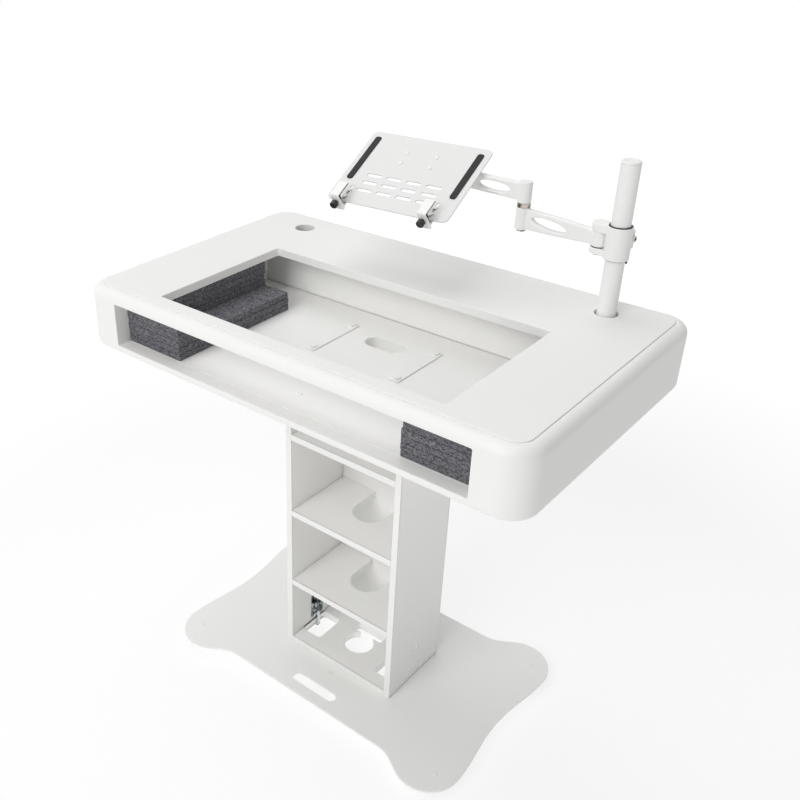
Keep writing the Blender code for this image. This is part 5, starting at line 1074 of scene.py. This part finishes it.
# Edge clamps: each is a strip of white coated steel bent back over the tray's front edge, lined with black rubber.
# The strip widens to the right below the bend, and a black knob locks its height.
CLAMP_HALF = 0.010
CLAMP_SHEET = 0.0025
CLAMP_FRONT = -0.2056
CLAMP_BACK = -0.1655
CLAMP_LOW = 0.0032
CLAMP_TOP = 0.0423
CLAMP_EDGE = 0.0008
BEND_ROUNDS = (0.0010, 0.0032)
CLAMP_FLARE = 0.006
FLARE_LEVELS = (0.0032, 0.0085, 0.0140, 0.0358)
FLARE_SHARES = (0.4, 1.0, 1.0, 0.0)
KNOB_LEVEL = 0.024
KNOB_RADIUS = 0.0082
KNOB_LENGTH = 0.010
KNOB_NECK = (0.0045, 0.003)
KNOB_DISH = (0.0052, 0.0062, 0.0008)
KNOB_FLUTES = 16
FLUTE_DEPTH = 0.035


def bent_strip():
    """The strip seen from its end, carried across its width, with its right half sheared out below the bend."""
    inner, under = CLAMP_FRONT + CLAMP_SHEET, CLAMP_TOP - CLAMP_SHEET
    levels = np.linspace(CLAMP_LOW + 0.002, CLAMP_TOP - 0.006, 12)
    corners = [(CLAMP_FRONT, CLAMP_LOW), (inner, CLAMP_LOW), *[(inner, level) for level in levels],
               (inner, under), (CLAMP_BACK, under), (CLAMP_BACK, CLAMP_TOP), (CLAMP_FRONT, CLAMP_TOP),
               *[(CLAMP_FRONT, level) for level in levels[::-1]]]
    flat = [0.0] * len(levels)
    radii = [CLAMP_EDGE, CLAMP_EDGE, *flat, BEND_ROUNDS[0], CLAMP_EDGE, CLAMP_EDGE, BEND_ROUNDS[1], *flat]
    rim = rounded_rim(-CLAMP_HALF, CLAMP_HALF, CLAMP_EDGE, border=0.0002)
    points, faces = moved(slab(filleted(corners, radii, 5), [], rim), ACROSS)
    drop = np.interp(points[:, 2], FLARE_LEVELS, FLARE_SHARES)
    on_wall = points[:, 1] < inner + 0.0001
    points[:, 0] += CLAMP_FLARE * drop * on_wall * np.clip(points[:, 0] / CLAMP_HALF, 0.0, 1.0)
    return points, faces


def fluted_knob():
    """A turned knob with a dished face, its rim waved in and out round the axis as a cosine."""
    dish, lip, depth = KNOB_DISH
    neck_end = KNOB_LENGTH + KNOB_NECK[1]
    profile = soft_profile([(dish, depth), (lip, 0.0), (KNOB_RADIUS, 0.0), (KNOB_RADIUS, KNOB_LENGTH),
                            (KNOB_NECK[0], KNOB_LENGTH), (KNOB_NECK[0], neck_end)],
                           [0.0006, 0.0006, 0.0016, 0.0012, 0.0, 0.0003])
    points, faces = turned(profile, 128)
    turns = np.arctan2(points[:, 1], points[:, 0])
    wave = 1.0 - FLUTE_DEPTH * (0.5 - 0.5 * np.cos(KNOB_FLUTES * turns))
    on_rim = np.hypot(points[:, 0], points[:, 1]) > 0.9 * KNOB_RADIUS
    points[:, :2] *= np.where(on_rim, wave, 1.0)[:, None]
    return points, faces


knob_turn = Matrix([(1, 0, 0, 0), (0, 0, 1, 0), (0, -1, 0, 0), (0, 0, 0, 1)])
knob_face = CLAMP_FRONT - CLEARANCE - KNOB_LENGTH - KNOB_NECK[1]
for side_name, side in SIDES:
    strip = shifted(bent_strip(), side * CLAMP_X)
    finished(f"edge_hook_{side_name}", moved(strip, tray_turn), white_satin_coat, f"edge_clamp_hook_{side_name}",
             [f"clamp_hook_{side_name}"])
    kept(f"clamp_liner_{side_name}", black_rubber)
    knob = shifted(moved(fluted_knob(), knob_turn), side * CLAMP_X, knob_face, KNOB_LEVEL)
    finished(f"edge_knob_{side_name}", moved(knob, tray_turn), black_nylon, f"edge_clamp_knob_{side_name}",
             [f"clamp_knob_{side_name}"])
